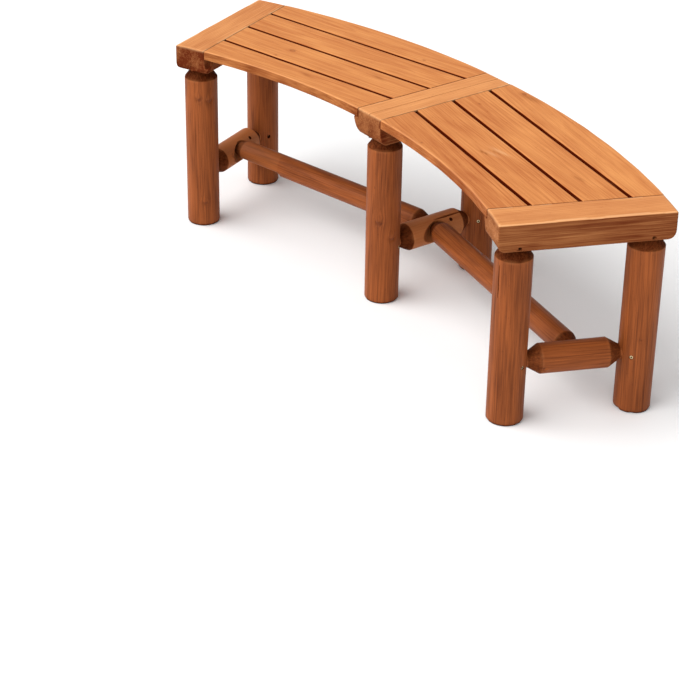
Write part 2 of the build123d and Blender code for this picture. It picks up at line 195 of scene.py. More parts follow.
# %% One mesh from closed rings
def lay_piece(name, tubes, nodes, finish, crease=40.0):
    """One object from tubes. Each tube is a dict with "at" (rings x points x 3, mm) and its marks.
    A tube whose faces would enclose a negative volume is turned right side out."""
    points, quads, fans = [], [], []
    marks = {key: [] for key in tubes[0] if key != "at"}
    start = 0
    for tube in tubes:
        at = tube["at"]
        four, three = tube_faces(at.shape[0], at.shape[1], start)
        spread = with_ends(at)
        whole = np.concatenate([four[:, [0, 1, 2]], four[:, [0, 2, 3]], three]) - start
        a, b, c = (spread[whole[:, i]] - spread.mean(0) for i in range(3))
        if np.einsum("ij,ij->i", a, np.cross(b, c)).sum() < 0:
            four, three = four[:, ::-1], three[:, ::-1]
        points.append(spread)
        quads.append(four)
        fans.append(three)
        for key in marks:
            marks[key].append(with_ends(tube[key]))
        start += len(spread)
    points = np.concatenate(points) * MM
    quads, fans = np.concatenate(quads), np.concatenate(fans)
    mesh = bpy.data.meshes.new(name)
    mesh.vertices.add(len(points))
    mesh.vertices.foreach_set("co", points.astype(np.float32).ravel())
    corners = np.concatenate([quads.ravel(), fans.ravel()]).astype(np.int32)
    sizes = np.concatenate([np.full(len(quads), 4), np.full(len(fans), 3)])
    mesh.loops.add(len(corners))
    mesh.loops.foreach_set("vertex_index", corners)
    mesh.polygons.add(len(sizes))
    mesh.polygons.foreach_set("loop_start", (np.cumsum(sizes) - sizes).astype(np.int32))
    mesh.update(calc_edges=True)
    mesh.validate()
    mesh.polygons.foreach_set("use_smooth", np.ones(len(sizes), bool))
    mesh.set_sharp_from_angle(angle=math.radians(crease))
    for key, parts in marks.items():
        values = np.concatenate(parts).astype(np.float32)
        vector = values.ndim == 2
        layer = mesh.attributes.new(key, "FLOAT_VECTOR" if vector else "FLOAT", "POINT")
        layer.data.foreach_set("vector" if vector else "value", values.ravel())
    mesh.materials.append(finish)
    piece = bpy.data.objects.new(name, mesh)
    bpy.context.scene.collection.objects.link(piece)
    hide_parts(*nodes)
    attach(piece, "root")
    return piece


print("a piece is drawn in millimetres and laid in metres, times", MM)

# %% [markdown]
# ## One way to add a shader node
# A material here is a chain of small steps. One helper adds a node, sets it and links it, so that
# the chain can be read from top to bottom. Colours are chosen as sRGB hex values, as on a paint
# card, and one function turns them into the linear values that light needs.

# %% Node and colour helpers
def linear(hex_colour):
    """Linear RGBA of an sRGB hex colour: ((c + 0.055) / 1.055) ** 2.4, or c / 12.92 when dark."""
    channels = [int(hex_colour[i:i + 2], 16) / 255 for i in (1, 3, 5)]
    return tuple(c / 12.92 if c <= 0.04045 else ((c + 0.055) / 1.055) ** 2.4
                 for c in channels) + (1.0,)


def add(tree, kind, inputs=None, out=0, stops=(), **settings):
    """Adds one shader node and hands back its output `out`. Settings are its properties, inputs
    maps a socket to a value or to another node's output, and stops are a ramp's positions, each
    with a grey or a hex colour."""
    made = tree.nodes.new("ShaderNode" + kind)
    for key, value in settings.items():
        setattr(made, key, value)
    for key, value in (inputs or {}).items():
        if isinstance(value, bpy.types.NodeSocket):
            tree.links.new(value, made.inputs[key])
        else:
            made.inputs[key].default_value = value
    for i, (position, value) in enumerate(stops):
        points = made.color_ramp.elements
        last = i == len(stops) - 1
        point = points[i] if i < len(points) - 1 or last else points.new(position)
        point.position = position
        point.color = linear(value) if isinstance(value, str) else (value, value, value, 1.0)
    return made.outputs[out] if made.outputs else made


def empty_material(name):
    """A new material and its node tree, with nothing in it."""
    finish = bpy.data.materials.new(name)
    finish.use_nodes = True
    finish.node_tree.nodes.clear()
    return finish, finish.node_tree


print("stain colour card:", [round(v, 3) for v in linear("#E0935A")[:3]])

# %% [markdown]
# ## Stained softwood
# The wood is fir, sawn or turned, sanded, then wiped with a thin honey-brown oil stain that stays
# semi-matt. Three things show: growth rings 3 to 5 mm apart whose late wood takes more stain,
# fibres that run along the tree, and slow clouds where the stain went in unevenly. Knots are
# darker and redder with a dark rim. Fibres are really about 0.05 mm wide, and are drawn about 2 mm
# wide here so that they show. Each pattern is noise in the tree's own directions, thin across and
# long along it.

# %% Patterns along the tree
def stretched(tree, place, across, lengthways, detail, shift):
    """Noise with features `across` mm wide and `lengthways` mm long, the tree's own way."""
    mapped = add(tree, "Mapping", {
        "Vector": place,
        "Location": (shift, shift * 0.37, shift * 0.73),
        "Scale": (1 / across, 1 / across, 1 / lengthways),
    })
    return add(tree, "TexNoise", {"Vector": mapped, "Scale": 1.0, "Detail": detail})


def growth_rings(tree, place, ring_mm):
    """Late wood: the distance from the tree's heart, pushed about slowly by up to 8 mm, is counted
    in ring widths, and within each width a ramp rises slowly and drops fast."""
    drift = add(tree, "Mapping", {"Vector": place, "Scale": (1 / 38, 1 / 38, 1 / 210)})
    drift = add(tree, "TexNoise", {"Vector": drift, "Scale": 1.0, "Detail": 2.0}, out="Color")
    moved = add(tree, "VectorMath", {0: drift, 1: (8, 8, 0), 2: place}, operation="MULTIPLY_ADD")
    level = add(tree, "VectorMath", {0: moved, 1: (1, 1, 0)}, operation="MULTIPLY")
    heart = add(tree, "VectorMath", {0: level}, out="Value", operation="LENGTH")
    count = add(tree, "Math", {0: heart, 1: 1 / ring_mm}, operation="MULTIPLY")
    part = add(tree, "Math", {0: count}, operation="FRACT")
    return add(tree, "ValToRGB", {"Fac": part}, stops=[
        (0.0, 0.0), (0.4, 0.15), (0.8, 1.0), (0.93, 0.7), (1.0, 0.0)])


def knot_shades(tree, place, knot):
    """Two masks from the distance in knot radii, over 4: a broad warm halo, and a core with a thin
    dark rim at one radius."""
    rugged = stretched(tree, place, 3.0, 5.0, 2.0, 53.0)
    rugged = add(tree, "Math", {0: rugged, 1: 0.5}, operation="SUBTRACT")
    knot = add(tree, "Math", {0: rugged, 1: 0.7, 2: knot}, operation="MULTIPLY_ADD")
    knot = add(tree, "Math", {0: knot, 1: 0.25}, operation="MULTIPLY")
    halo = add(tree, "ValToRGB", {"Fac": knot}, stops=[
        (0.0, 0.4), (0.3, 0.26), (0.6, 0.08), (1.0, 0.0)])
    core = add(tree, "ValToRGB", {"Fac": knot}, stops=[
        (0.0, 0.3), (0.07, 0.15), (0.17, 0.2), (0.25, 0.45), (0.31, 0.15), (0.36, 0.0)])
    return halo, core


print("patterns ready: fibres, streaks and clouds by `stretched`, rings, knots")

# %% [markdown]
# ## How the stain took, and where shade is painted
# One finish serves all the wood. Stain went deepest where the wood is open, and a planed top stays
# light. Shade is painted in along with it: rough edges, side faces, gap walls, cones, holes, checks
# and sawn ends are drawn dark, as soaked stain and painted shade. That differs from place to place,
# so every piece stores it on its points: one value for the stain drunk together with the painted
# shade, one for end grain, one for arrises rubbed pale together with a painted highlight, and a
# tone for a whole piece that came out lighter or darker, or that is painted lighter as painted
# light.

# %% The wood finish
KNOT_RIM = "#5E2A14"


def stained_wood(name, pale, deep, deep_stain_and_shade, worn_and_highlit, ring_mm, streak_share, fibre_share, gloss):
    """Colour runs from pale to deep by 0.22 + rings + fibres + streaks + clouds + flecks + tone.
    Then knots, soaked places darkened further as painted shade, the rings on sawn ends, and rubbed
    arrises with a painted highlight are laid over it."""
    finish, tree = empty_material(name)
    place = add(tree, "Attribute", out="Vector", attribute_name="grain")
    knot, wear_and_highlight, sawn, stain_and_shade, tone = (add(tree, "Attribute", out="Fac", attribute_name=key)
                                    for key in ("knot", "wear_and_highlight", "sawn", "stain_and_shade", "tone"))
    late_wood = growth_rings(tree, place, ring_mm)
    fibre = stretched(tree, place, 2.0, 90.0, 2.0, 3.0)
    streak = stretched(tree, place, 6.0, 260.0, 3.0, 17.0)
    cloud = stretched(tree, place, 46.0, 130.0, 2.0, 29.0)
    fleck = add(tree, "ValToRGB", {"Fac": stretched(tree, place, 1.8, 8.0, 1.0, 41.0)}, stops=[
        (0.0, 0.0), (0.69, 0.0), (0.77, 1.0)])

    # How deep the stain went in: a share of every pattern, added up
    amount = add(tree, "Math", {0: late_wood, 1: 0.2, 2: 0.22}, operation="MULTIPLY_ADD")
    for part, share in ((fibre, fibre_share), (streak, streak_share), (cloud, 0.7)):
        swing = add(tree, "Math", {0: part, 1: 0.5}, operation="SUBTRACT")
        amount = add(tree, "Math", {0: swing, 1: share, 2: amount}, operation="MULTIPLY_ADD")
    for part, share in ((fleck, 0.35), (tone, 0.25)):
        amount = add(tree, "Math", {0: part, 1: share, 2: amount}, operation="MULTIPLY_ADD",
                     use_clamp=part is tone)

    # Soaked places and painted shade are mottled, sawn ends show rings, and rubbing and painted
    # highlights follow the fibres
    patchy = 0.25
    for part in (cloud, fibre, streak):
        patchy = add(tree, "Math", {0: part, 1: 0.5, 2: patchy}, operation="MULTIPLY_ADD")
    soaked_and_shaded = add(tree, "Math", {0: sawn, 1: 0.3, 2: stain_and_shade}, operation="MULTIPLY_ADD")
    soaked_and_shaded = add(tree, "Math", {0: soaked_and_shaded, 1: patchy}, operation="MULTIPLY", use_clamp=True)
    rings = add(tree, "Math", {0: sawn, 1: late_wood}, operation="MULTIPLY")
    rings = add(tree, "Math", {0: rings, 1: 0.35}, operation="MULTIPLY")
    rubbed_and_highlit = add(tree, "Math", {0: wear_and_highlight, 1: fibre}, operation="MULTIPLY")

    halo, core = knot_shades(tree, place, knot)
    colour = linear(pale)
    for share, over in ((amount, deep), (halo, deep), (core, KNOT_RIM), (soaked_and_shaded, deep_stain_and_shade),
                        (rings, deep_stain_and_shade), (rubbed_and_highlit, worn_and_highlit)):
        colour = add(tree, "Mix", {0: share, 6: colour, 7: linear(over)}, out=2, data_type="RGBA")

    height = add(tree, "Math", {0: late_wood, 1: 0.3, 2: fibre}, operation="MULTIPLY_ADD")
    height = add(tree, "Math", {0: fleck, 1: -0.5, 2: height}, operation="MULTIPLY_ADD")
    relief = add(tree, "Bump", {"Height": height, "Strength": 0.5, "Distance": 0.0005})
    dull = add(tree, "Math", {0: fibre, 1: 0.22, 2: gloss - 0.11}, operation="MULTIPLY_ADD")
    dull = add(tree, "Math", {0: soaked_and_shaded, 1: 0.25, 2: dull}, operation="MULTIPLY_ADD", use_clamp=True)
    sheen = add(tree, "Math", {0: soaked_and_shaded, 1: -0.12, 2: 0.12}, operation="MULTIPLY_ADD", use_clamp=True)
    shader = add(tree, "BsdfPrincipled", {
        "Base Color": colour, "Roughness": dull, "Normal": relief, "IOR": 1.5,
        "Specular IOR Level": sheen})
    add(tree, "OutputMaterial", {"Surface": shader})
    return finish


print("a knot's dark rim is", KNOT_RIM)

# %% Three kinds of stained fir
# Each wood has a pale and a deep colour, a darkest colour for soaked stain and painted shade, and a
# pale colour for rubbed arrises and their painted highlight.
RUBBED_AND_HIGHLIGHT = "#F2BE8A"
planed_fir = stained_wood("honey_stain_on_planed_fir", "#DF9555", "#A65120", "#561704", RUBBED_AND_HIGHLIGHT,
                          ring_mm=4.2, streak_share=0.36, fibre_share=0.9, gloss=0.5)
sawn_fir = stained_wood("honey_stain_on_sawn_half_log", "#E19A5E", "#A85828", "#5C2612", RUBBED_AND_HIGHLIGHT,
                        ring_mm=3.4, streak_share=0.45, fibre_share=0.9, gloss=0.55)
turned_fir = stained_wood("honey_stain_on_turned_log", "#985126", "#53250D", "#360F03", "#C98350",
                          ring_mm=4.6, streak_share=0.6, fibre_share=1.4, gloss=0.5)
print("wood finishes:", planed_fir.name, sawn_fir.name, turned_fir.name)

# %% [markdown]
# ## Metal and dowel finishes
# The rails' screws have brass-plated heads, a little dulled. The deeper screws are zinc-plated
# steel, drawn in a very dark brown. The hidden dowels are plain turned beech, and keep the solids
# that the model gives them.

# %% Brass, steel and beech
def screw_metal(name, bright, dim, roughness):
    """Metal whose colour wavers between two tones, with fine turning marks about 0.3 mm apart."""
    finish, tree = empty_material(name)
    where = add(tree, "TexCoord", out="Object")
    stain = add(tree, "TexNoise", {"Vector": where, "Scale": 700.0, "Detail": 3.0})
    marks = add(tree, "TexNoise", {"Vector": where, "Scale": 3300.0, "Detail": 1.0})
    colour = add(tree, "Mix", {0: stain, 6: linear(bright), 7: linear(dim)}, out=2,
                 data_type="RGBA")
    relief = add(tree, "Bump", {"Height": marks, "Strength": 0.3, "Distance": 0.0001})
    dull = add(tree, "Math", {0: stain, 1: 0.25, 2: roughness}, operation="MULTIPLY_ADD")
    shader = add(tree, "BsdfPrincipled", {
        "Base Color": colour, "Metallic": 1.0, "Roughness": dull, "Normal": relief})
    add(tree, "OutputMaterial", {"Surface": shader})
    return finish


def beech_finish():
    """Pale beech with short darker flecks about 0.5 mm wide and 3 mm long."""
    finish, tree = empty_material("turned_beech_dowel")
    where = add(tree, "TexCoord", out="Object")
    where = add(tree, "Mapping", {"Vector": where, "Scale": (330.0, 2000.0, 2000.0)})
    grain = add(tree, "TexNoise", {"Vector": where, "Scale": 1.0, "Detail": 2.0})
    colour = add(tree, "ValToRGB", {"Fac": grain}, stops=[(0.3, "#D9B384"), (0.7, "#B98C5C")])
    relief = add(tree, "Bump", {"Height": grain, "Strength": 0.3, "Distance": 0.0002})
    dull = add(tree, "Math", {0: grain, 1: 0.2, 2: 0.5}, operation="MULTIPLY_ADD")
    shader = add(tree, "BsdfPrincipled", {
        "Base Color": colour, "Roughness": dull, "Normal": relief, "IOR": 1.5})
    add(tree, "OutputMaterial", {"Surface": shader})
    return finish


plated_brass = screw_metal("brass_plated_screw", "#FFF1CC", "#D2B478", 0.3)
dark_steel = screw_metal("dark_zinc_screw", "#4A3B30", "#20160F", 0.45)
dowel_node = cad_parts["slat_dowels"]
dowel_node.data.materials.clear()
dowel_node.data.materials.append(beech_finish())
print("metals:", plated_brass.name, dark_steel.name)

# %% [markdown]
# ## Knots
# A knot is where a branch left the trunk. The grain swells round it, a dark rim marks the bark
# that was trapped there, and on a turned log it stands a little proud because it is harder. Each
# point of a piece stores how many knot radii it lies from the nearest knot, and its place in the
# tree is pushed aside near one, so that the drawn grain flows round it.

# %% Distance to the nearest knot, and the grain it pushes aside
CLEAR_OF_KNOTS = 4.0


def bell(offset, width, power=2):
    """exp(-(offset / width) ^ power): 1 in the middle, fading out past the width."""
    return np.exp(-(offset / width) ** power)


def knot_field(across, lengthways, knots):
    """For knots given as (across, lengthways, radius): the least distance in radii, up to 4, with
    knots drawn one and a half times as long as wide; and the push, which is -0.9 of the offset at
    the heart and fades as exp(-(d/2)^2)."""
    nearest = np.full(np.broadcast(across, lengthways).shape, CLEAR_OF_KNOTS)
    push = np.zeros_like(nearest)
    for centre, place, radius in knots:
        side = across - centre
        reach = np.sqrt((side / radius) ** 2 + ((lengthways - place) / (1.5 * radius)) ** 2)
        nearest = np.minimum(nearest, reach)
        push = push - 0.9 * side * bell(reach, 2)
    return nearest, push


trial_reach, trial_push = knot_field(np.array([0.0, 8.0]), np.zeros(2), [(0.0, 0.0, 4.0)])
print("8 mm beside a 4 mm knot:", trial_reach[1], "radii, push", round(trial_push[1], 2), "mm")

# %% [markdown]
# ## Turned logs
# Legs and rails were peeled, run through a doweling lathe and left with cone ends. So a log is a
# profile, radius against distance along the axis, turned about that axis. To the radius are added
# a slow swelling, flutes and facets that the cutter left, and a lump at each knot with the half
# moon of dark bark below it. Then comes what was cut or broken away: a flat planed along the log,
# chips at the foot, drying checks, which are lens-shaped splits along the grain, and a sunk place
# at each screw.

# %% The grid of a log
def run_along(line):
    """The length run from the line's first point to each of its points."""
    return np.concatenate([[0.0], np.cumsum(np.linalg.norm(np.diff(line, axis=0), axis=1))])


def with_more(line, marks, more, clear=0.25):
    """The same open line with points added at the lengths `more` along it, apart from those within
    `clear` of another. Lengths are used so that upright runs stay as they are."""
    run = run_along(line)
    more = more[np.abs(more[:, None] - run[None, :]).min(1) > clear]
    more = more[np.concatenate([[True], np.diff(more) > clear])[:len(more)]]
    whole = np.sort(np.concatenate([run, more]))
    points = np.stack([np.interp(whole, run, line[:, i]) for i in (0, 1)], axis=-1)
    return points, np.interp(whole, run, marks)


def log_grid(line, marks, widest, checks, dimples, notched):
    """Places along the log and turns round it, closer together at checks, screws and notches."""
    fine_turns = [k[0] for k in checks] + [d[0] for d in dimples]
    if notched:
        turn = np.unique(np.concatenate([np.arange(0, 360, 1.5)] + [
            np.arange(t - 9, t + 9, 0.75) for t in fine_turns]))
    else:
        turn = stations(0, 360, 3.2, [t % 360 for t in fine_turns], math.degrees(0.5 / widest),
                        math.degrees(5.0 / widest))[:-1]
    extra = [stations(line[0, 0], line[-1, 0], 1.2 if notched else 4.5)]
    extra += [np.arange(d[1] - 5.0, d[1] + 5.0, 0.5) for d in dimples]
    more = np.sort(np.interp(np.concatenate(extra), line[:, 0], run_along(line)))
    line, marks = with_more(line, marks, more)
    return line, marks, np.radians(turn)[None, :]


plain_grid = log_grid(test_line, test_marks, 30.0, [], [], False)
print("a plain log's grid has", plain_grid[2].size, "turns")

# %% The radius of a log
SWELLING = 0.42
FLUTING = 0.16
FACETS = 11
KNOT_LUMP = 1.6
BARK_GROOVE = 2.4


def held(value):
    """The value held between 0 and 1."""
    return np.clip(value, 0, 1)


def in_hole(gap, radius):
    """1 inside a round hole, at `gap` mm from its middle, with a rim softened over half a mm."""
    return held((radius + 0.25 - gap) / 0.5)


def log_radius(line, angle, steep, seed, widest, knots, checks, dimples, planed, chips):
    """The profile's radius with its swelling, flutes, knots and cuts. On the cones, each facet is r
    cos(pi/n) / cos(a) at the turn a from its middle. A flat that lies d deep at turn t is r <=
    (widest - d) / cos(angle - t). Also handed back: the stain drunk together with painted shade in
    checks and screw holes, the distance from knots, the push of the grain, and the flat's worn
    edges, which also get a painted highlight."""
    s = line[:, 0:1]
    r = line[:, 1:2] * np.ones_like(angle)
    x, y = widest * np.cos(angle), widest * np.sin(angle)

    # Turning left a slow swelling and flutes where the log is thick, and facets on the cones
    firm = held((r / widest - 0.55) / 0.35)
    r = r + firm * (SWELLING * wander(seed, 75, x, y, 0.12 * s) - 0.25)
    r = r + firm * FLUTING * wander(seed + 1, 17, x, y, 0.03 * s)
    facets = (angle * FACETS / (2 * math.pi) + 0.35 * wander(seed + 3, 60, x, y)) % 1.0
    flat = math.cos(math.pi / FACETS) / np.cos((facets - 0.5) * 2 * math.pi / FACETS)
    hewn = held(steep / 0.3) * held((0.6 - steep) / 0.1)
    r = r * (1 - 0.6 * hewn * (1 - flat))

    def arc(t):
        """Distance round the log from the turn t, in millimetres."""
        return ((np.degrees(angle) + 0 * s - t + 180) % 360 - 180) * math.radians(1) * widest

    # Knots stand proud, with a dark half moon of bark below
    nearest, push = np.full(r.shape, CLEAR_OF_KNOTS), np.zeros(r.shape)
    for t, place, radius in knots:
        near, shove = knot_field(arc(t), s, [(0.0, place, radius)])
        lower = held(0.45 - 0.7 * (s - place) / radius)
        nearest = np.minimum(nearest, CLEAR_OF_KNOTS - (CLEAR_OF_KNOTS - near) * lower)
        push = push + 0.6 * shove
        half_moon = BARK_GROOVE * lower * bell(near - 1.1, 0.3)
        r = r + firm * (KNOT_LUMP * bell(near, 1.2) - half_moon)

    # What was cut or broken away: a flat, chips, checks and sunk screws
    edges = np.zeros_like(r)
    if planed:
        place = planed[0] + 2.5 * wander(seed + 8, 14, x, y)
        level = (widest - planed[2]) / np.cos(np.clip(arc(planed[1]) / widest, -1.4, 1.4))
        past, over = held((s - place) / 3.0), np.clip(r - level, 0, None)
        r = r - over * past
        edges = np.maximum(bell(over - 0.5, 0.4) * past, bell(s - place, 2.0) * held(over / 2))
    for t, width, height, depth in chips:
        bite = bell(arc(t), width) * held(1 - (s - line[0, 0]) / height)
        r = r - depth * bite * (1 + 0.5 * wander(seed + 4, 9, x, y, s)) * (r > widest * 0.5)
    # Checks and screw holes are painted dark inside, as painted shade.
    stain_and_shade = np.zeros_like(r)
    for t, low, high, width, depth in checks:
        middle, half = (low + high) / 2, (high - low) / 2
        opening = width / 2 * np.sqrt(np.clip(1 - ((s - middle) / half) ** 2, 1e-6, 1))
        off = np.abs(arc(t) - 0.4 * wander(seed + 2, 40, s))
        inside = (np.abs(s - middle) < half) * held(1 - off / opening)
        r = r - depth * np.minimum(1, 1.6 * inside)
        stain_and_shade = np.maximum(stain_and_shade, 0.9 * np.minimum(1, 2 * inside))
    for t, place, radius, depth in dimples:
        gap = np.sqrt(arc(t) ** 2 + (s - place) ** 2)
        r = r - depth * in_hole(gap, radius)
        stain_and_shade = np.maximum(stain_and_shade, 0.95 * in_hole(gap, radius + 0.75))
    return r, stain_and_shade, nearest, push, edges


swell = SWELLING * wander(11, 75, np.arange(400.0))
print("along 400 mm a log swells and thins by", round(float(np.ptp(swell)), 2), "mm")

# %% The surface of a log
def wood_tube(at, grain, knot, wear_and_highlight, sawn, stain_and_shade, tone):
    """A tube of points, with what the wood finish reads there. Tone is one value for the piece."""
    return {"at": at, "grain": grain, "knot": knot, "wear_and_highlight": wear_and_highlight, "sawn": sawn, "stain_and_shade": stain_and_shade,
            "tone": np.full(knot.shape, tone)}


def log_tube(line, marks, axis, seed, knots=(), checks=(), dimples=(), notches=(), planed=None,
             chips=(), tone=0.0, painted_light=0.0, cone_stain_and_shade=0.76):
    """Point = origin + r cos t * right + r sin t * up + s * ahead, with r at place s and turn t,
    and turns in degrees from right towards up. A notch tells how far each ray from the axis goes
    before it enters a cutter, and r never passes it. One argument paints the barrel paler, as
    painted light, and another sets how dark the cones are painted, as soaked stain and painted
    shade."""
    origin, right, up, ahead = (np.array(v, float) for v in axis)
    widest = line[:, 1].max()
    line, marks, angle = log_grid(line, marks, widest, checks, dimples, bool(notches))
    s = line[:, 0:1]
    change = np.abs(np.gradient(line, axis=0))
    steep = (change[:, 1] / (change.sum(1) + 1e-9))[:, None]
    r, stain_and_shade, nearest, push, edges = log_radius(
        line, angle, steep, seed, widest, knots, checks, dimples, planed, chips)
    radial = np.cos(angle)[..., None] * right + np.sin(angle)[..., None] * up
    whole = r
    for cut in notches:
        r = np.minimum(r, cut(origin + s[..., None] * ahead, radial))
    # Notched faces are painted a little dark, as painted shade.
    stain_and_shade = np.maximum(stain_and_shade, 0.12 * (r < whole - 0.05))
    at = origin + r[..., None] * radial + s[..., None] * ahead

    # The heart of the tree lies up to 9 mm beside the log's axis and leans a little
    chance = np.random.default_rng(seed + 5)
    pith = chance.uniform(-9, 9, 2)
    lean = chance.uniform(-0.02, 0.02, 2)
    bent = angle + push / widest
    grain = np.stack([
        r * np.cos(bent) - pith[0] - lean[0] * s,
        r * np.sin(bent) - pith[1] - lean[1] * s,
        s + 0 * r + chance.uniform(0, 4000),
    ], axis=-1)

    # Stain and painted shade darken the first end and the cones. Rims are rubbed pale with a
    # painted highlight, and some barrels are painted paler, as painted light
    from_foot = s - line[0, 0]
    stain_and_shade = stain_and_shade + 0.4 * bell(from_foot, 5) + cone_stain_and_shade * held(steep / 0.3)
    x, y = widest * np.cos(angle), widest * np.sin(angle)
    rubbed_and_highlit = 0.25 * marks[:, None] * held(0.5 + wander(seed + 6, 25, x, y, s))
    rubbed_and_highlit = rubbed_and_highlit * (from_foot > 12) + painted_light * held(1 - 3 * stain_and_shade)
    sawn = held((steep - 0.6) / 0.2) * np.ones_like(r)
    return wood_tube(at, grain, nearest, np.maximum(rubbed_and_highlit, 0.8 * edges), sawn, stain_and_shade, tone)


trial_line, trial_marks = outline([(0, 0.5), (0, 20), (90, 20), (90, 0.5)], [0, 2, 2, 0])
trial_log = log_tube(trial_line, trial_marks, ((0, 0, 0), *np.eye(3)), seed=1)
print("a 90 mm log 40 mm thick takes", trial_log["knot"].size, "points")

# %% [markdown]
# ## Legs
# The six legs are 73 mm logs. The top of each is cut to a cone that shoulders against the beam,
# and a 38 mm tenon goes on up into it. The foot is sawn square and its rim is eased. Right is away
# from the middle of the bench, up is out along the radius, and the log's own axis points to the
# sky. One screw from the side of each leg locks the cross rail's tenon, and one of the six was
# driven 7 mm deep. In the tables a knot is its turn, place along the log and radius; a check its
# turn, start, end, width and depth; a chip its turn, width, height and depth; a screw's dimple its
# turn, place, radius, depth.

# %% Make the legs
TENON_CHAMFER = 2.0
LEG_CONE_FOOT = 351.0
LEG_CONE_TOP = 21.5
LEG_TENON_RADIUS = 19.0
LEG_TENON_TOP = BEAM_BOTTOM + 38.0
SCREW_HOLE = 3.45
SHALLOW_SINK, DEEP_SINK = 1.0, 7.0
PAIRS = {"left": -1, "middle": 0, "right": 1}
RAIL_SCREW_TURN = {"front": 35.0, "back": -35.0}


def rail_screw_sink(pair, end):
    """How far the head of the cross rail's screw lies below the leg's surface."""
    return DEEP_SINK if (pair, end) == ("left", "back") else SHALLOW_SINK


leg_line, leg_marks = outline([
    (0.0, 0.5), (0.0, LEG_RADIUS), (LEG_CONE_FOOT, LEG_RADIUS), (BEAM_BOTTOM, LEG_CONE_TOP),
    (BEAM_BOTTOM, LEG_TENON_RADIUS), (LEG_TENON_TOP - TENON_CHAMFER, LEG_TENON_RADIUS),
    (LEG_TENON_TOP, LEG_TENON_RADIUS - TENON_CHAMFER), (LEG_TENON_TOP, 0.5),
], [0, 4.0, 3.5, 0, 0, 0, 0, 0], step=5.0)
leg_facts = {
    ("left", "front"): dict(seed=11, tone=0.1,
                            knots=[(-66, 314, 6.0), (-28, 310, 7.0), (-50, 62, 5)]),
    ("left", "back"): dict(seed=23, tone=0.1, knots=[(-70, 338, 5), (140, 200, 6)]),
    ("middle", "front"): dict(seed=37, tone=0.1,
                              knots=[(-52, 196, 7), (-5, 158, 6), (120, 250, 6)]),
    ("middle", "back"): dict(seed=41, tone=-0.1, knots=[(200, 150, 6), (-40, 290, 5)]),
    ("right", "front"): dict(seed=53, tone=0.45, knots=[(170, 220, 6)],
                             checks=[(-62, 272, 340, 1.8, 6.0)]),
    ("right", "back"): dict(seed=67, tone=0.25, knots=[(-12, 165, 2.0), (150, 260, 6)],
                            chips=[(-75, 16, 9, 4.5), (-20, 11, 7, 3.5)]),
}
for (pair, end), facts in leg_facts.items():
    turn, aside = PAIRS[pair] * BAY_ANGLE, -PAIRS[pair] * END_STRIP / 2
    out = FRONT_LEGS if end == "front" else BACK_LEGS
    foot = spot(turn, aside, out, 0.0)
    axis = (foot, spot(turn, 1 + aside, out, 0.0) - foot, spot(turn, aside, out + 1, 0.0) - foot,
            (0, 0, 1))
    hole = (RAIL_SCREW_TURN[end], CROSS_RAIL_HEIGHT, SCREW_HOLE, rail_screw_sink(pair, end) + 0.2)
    tube = log_tube(leg_line, leg_marks, axis, dimples=[hole], **facts)
    leg = lay_piece(f"log_leg_{pair}_{end}", [tube], [f"leg_{pair}_{end}"],
                    turned_fir)
print("legs made, last has", len(leg.data.polygons), "faces")

# %% [markdown]
# ## Cross rails and the notches for the long rails
# Each pair of legs is joined by a 60 mm rail with cone ends, whose tenons go into the legs. A long
# rail's blunt nose sits in a flared notch in the cross rail's side. The notch is found by asking,
# for every ray from the rail's axis, how far it goes before it enters the flared cutter: the wood
# ends there, or at the log's own surface if that comes first. The barrels of the left and middle
# rails are painted paler, as painted light reaching them under the seat, and the middle one has a
# long drying check.

# %% Where the long rails run
BACK_SHIFT = 6.0
NOSE_SEAT = 13.0
NOSE_RADIUS = 15.0
NOSE_CLEARANCE = 0.3
LONG_RAIL_RADIUS = 25.0
CROSS_RAIL_RADIUS = 30.0


def pair_spot(side, right=0.0, out=0.0, up=CROSS_RAIL_HEIGHT):
    """A place given from the middle of the leg pair at this side."""
    return spot(side * BAY_ANGLE, right - side * END_STRIP / 2, PAIR_MIDDLE + out, up)


long_axis = {}
for side in (-1, 1):
    inner_end = pair_spot(0, 0.0, BACK_SHIFT, LONG_RAIL_HEIGHT)
    span = pair_spot(side, 0.0, BACK_SHIFT, LONG_RAIL_HEIGHT) - inner_end
    long_axis[side] = (inner_end, span / np.linalg.norm(span), np.linalg.norm(span))
print("a long rail runs", round(long_axis[1][2], 1), "mm between the cross rails' axes")

# %% The notch cutter
FAR_OFF = 1e9


def flared_cut(floor, opening, small=NOSE_RADIUS + NOSE_CLEARANCE):
    """Distance t along each ray at which it enters a cone that opens at 45 degrees from a flat
    floor. With h along the cone's axis and q across it, the wall is |q| = small + h, which is a
    quadratic in t."""
    def distance(base, heading):
        gap = base - floor
        h0, hd = gap @ opening, heading @ opening
        q0 = gap - h0[..., None] * opening
        qd = heading - hd[..., None] * opening
        a = (qd * qd).sum(-1) - hd ** 2
        b = (q0 * qd).sum(-1) - (small + h0) * hd
        c = (q0 * q0).sum(-1) - (small + h0) ** 2
        root = b * b - a * c
        spread, divisor = np.sqrt(np.maximum(root, 0)), np.where(np.abs(a) < 1e-9, 1e-9, a)
        walls = ((-b - spread) / divisor, (-b + spread) / divisor)
        low, high = np.minimum(*walls), np.maximum(*walls)
        plane = -h0 / np.where(hd > 1e-6, hd, 1e-6)
        wide = a < 0
        enter = np.maximum(plane, np.where(wide, np.where(root > 0, high, plane), low))
        hits = (hd > 1e-6) & (wide | (root > 0)) & (enter < np.where(wide, FAR_OFF, high))
        return np.where(hits & (enter > 0), enter, FAR_OFF)
    return distance


trial = flared_cut(np.array((10.0, 0, 0)), np.array((1.0, 0, 0)))
print("a ray meets a floor 10 mm off at", trial(np.zeros((1, 3)), np.array([[1.0, 0, 0]]))[0], "mm")

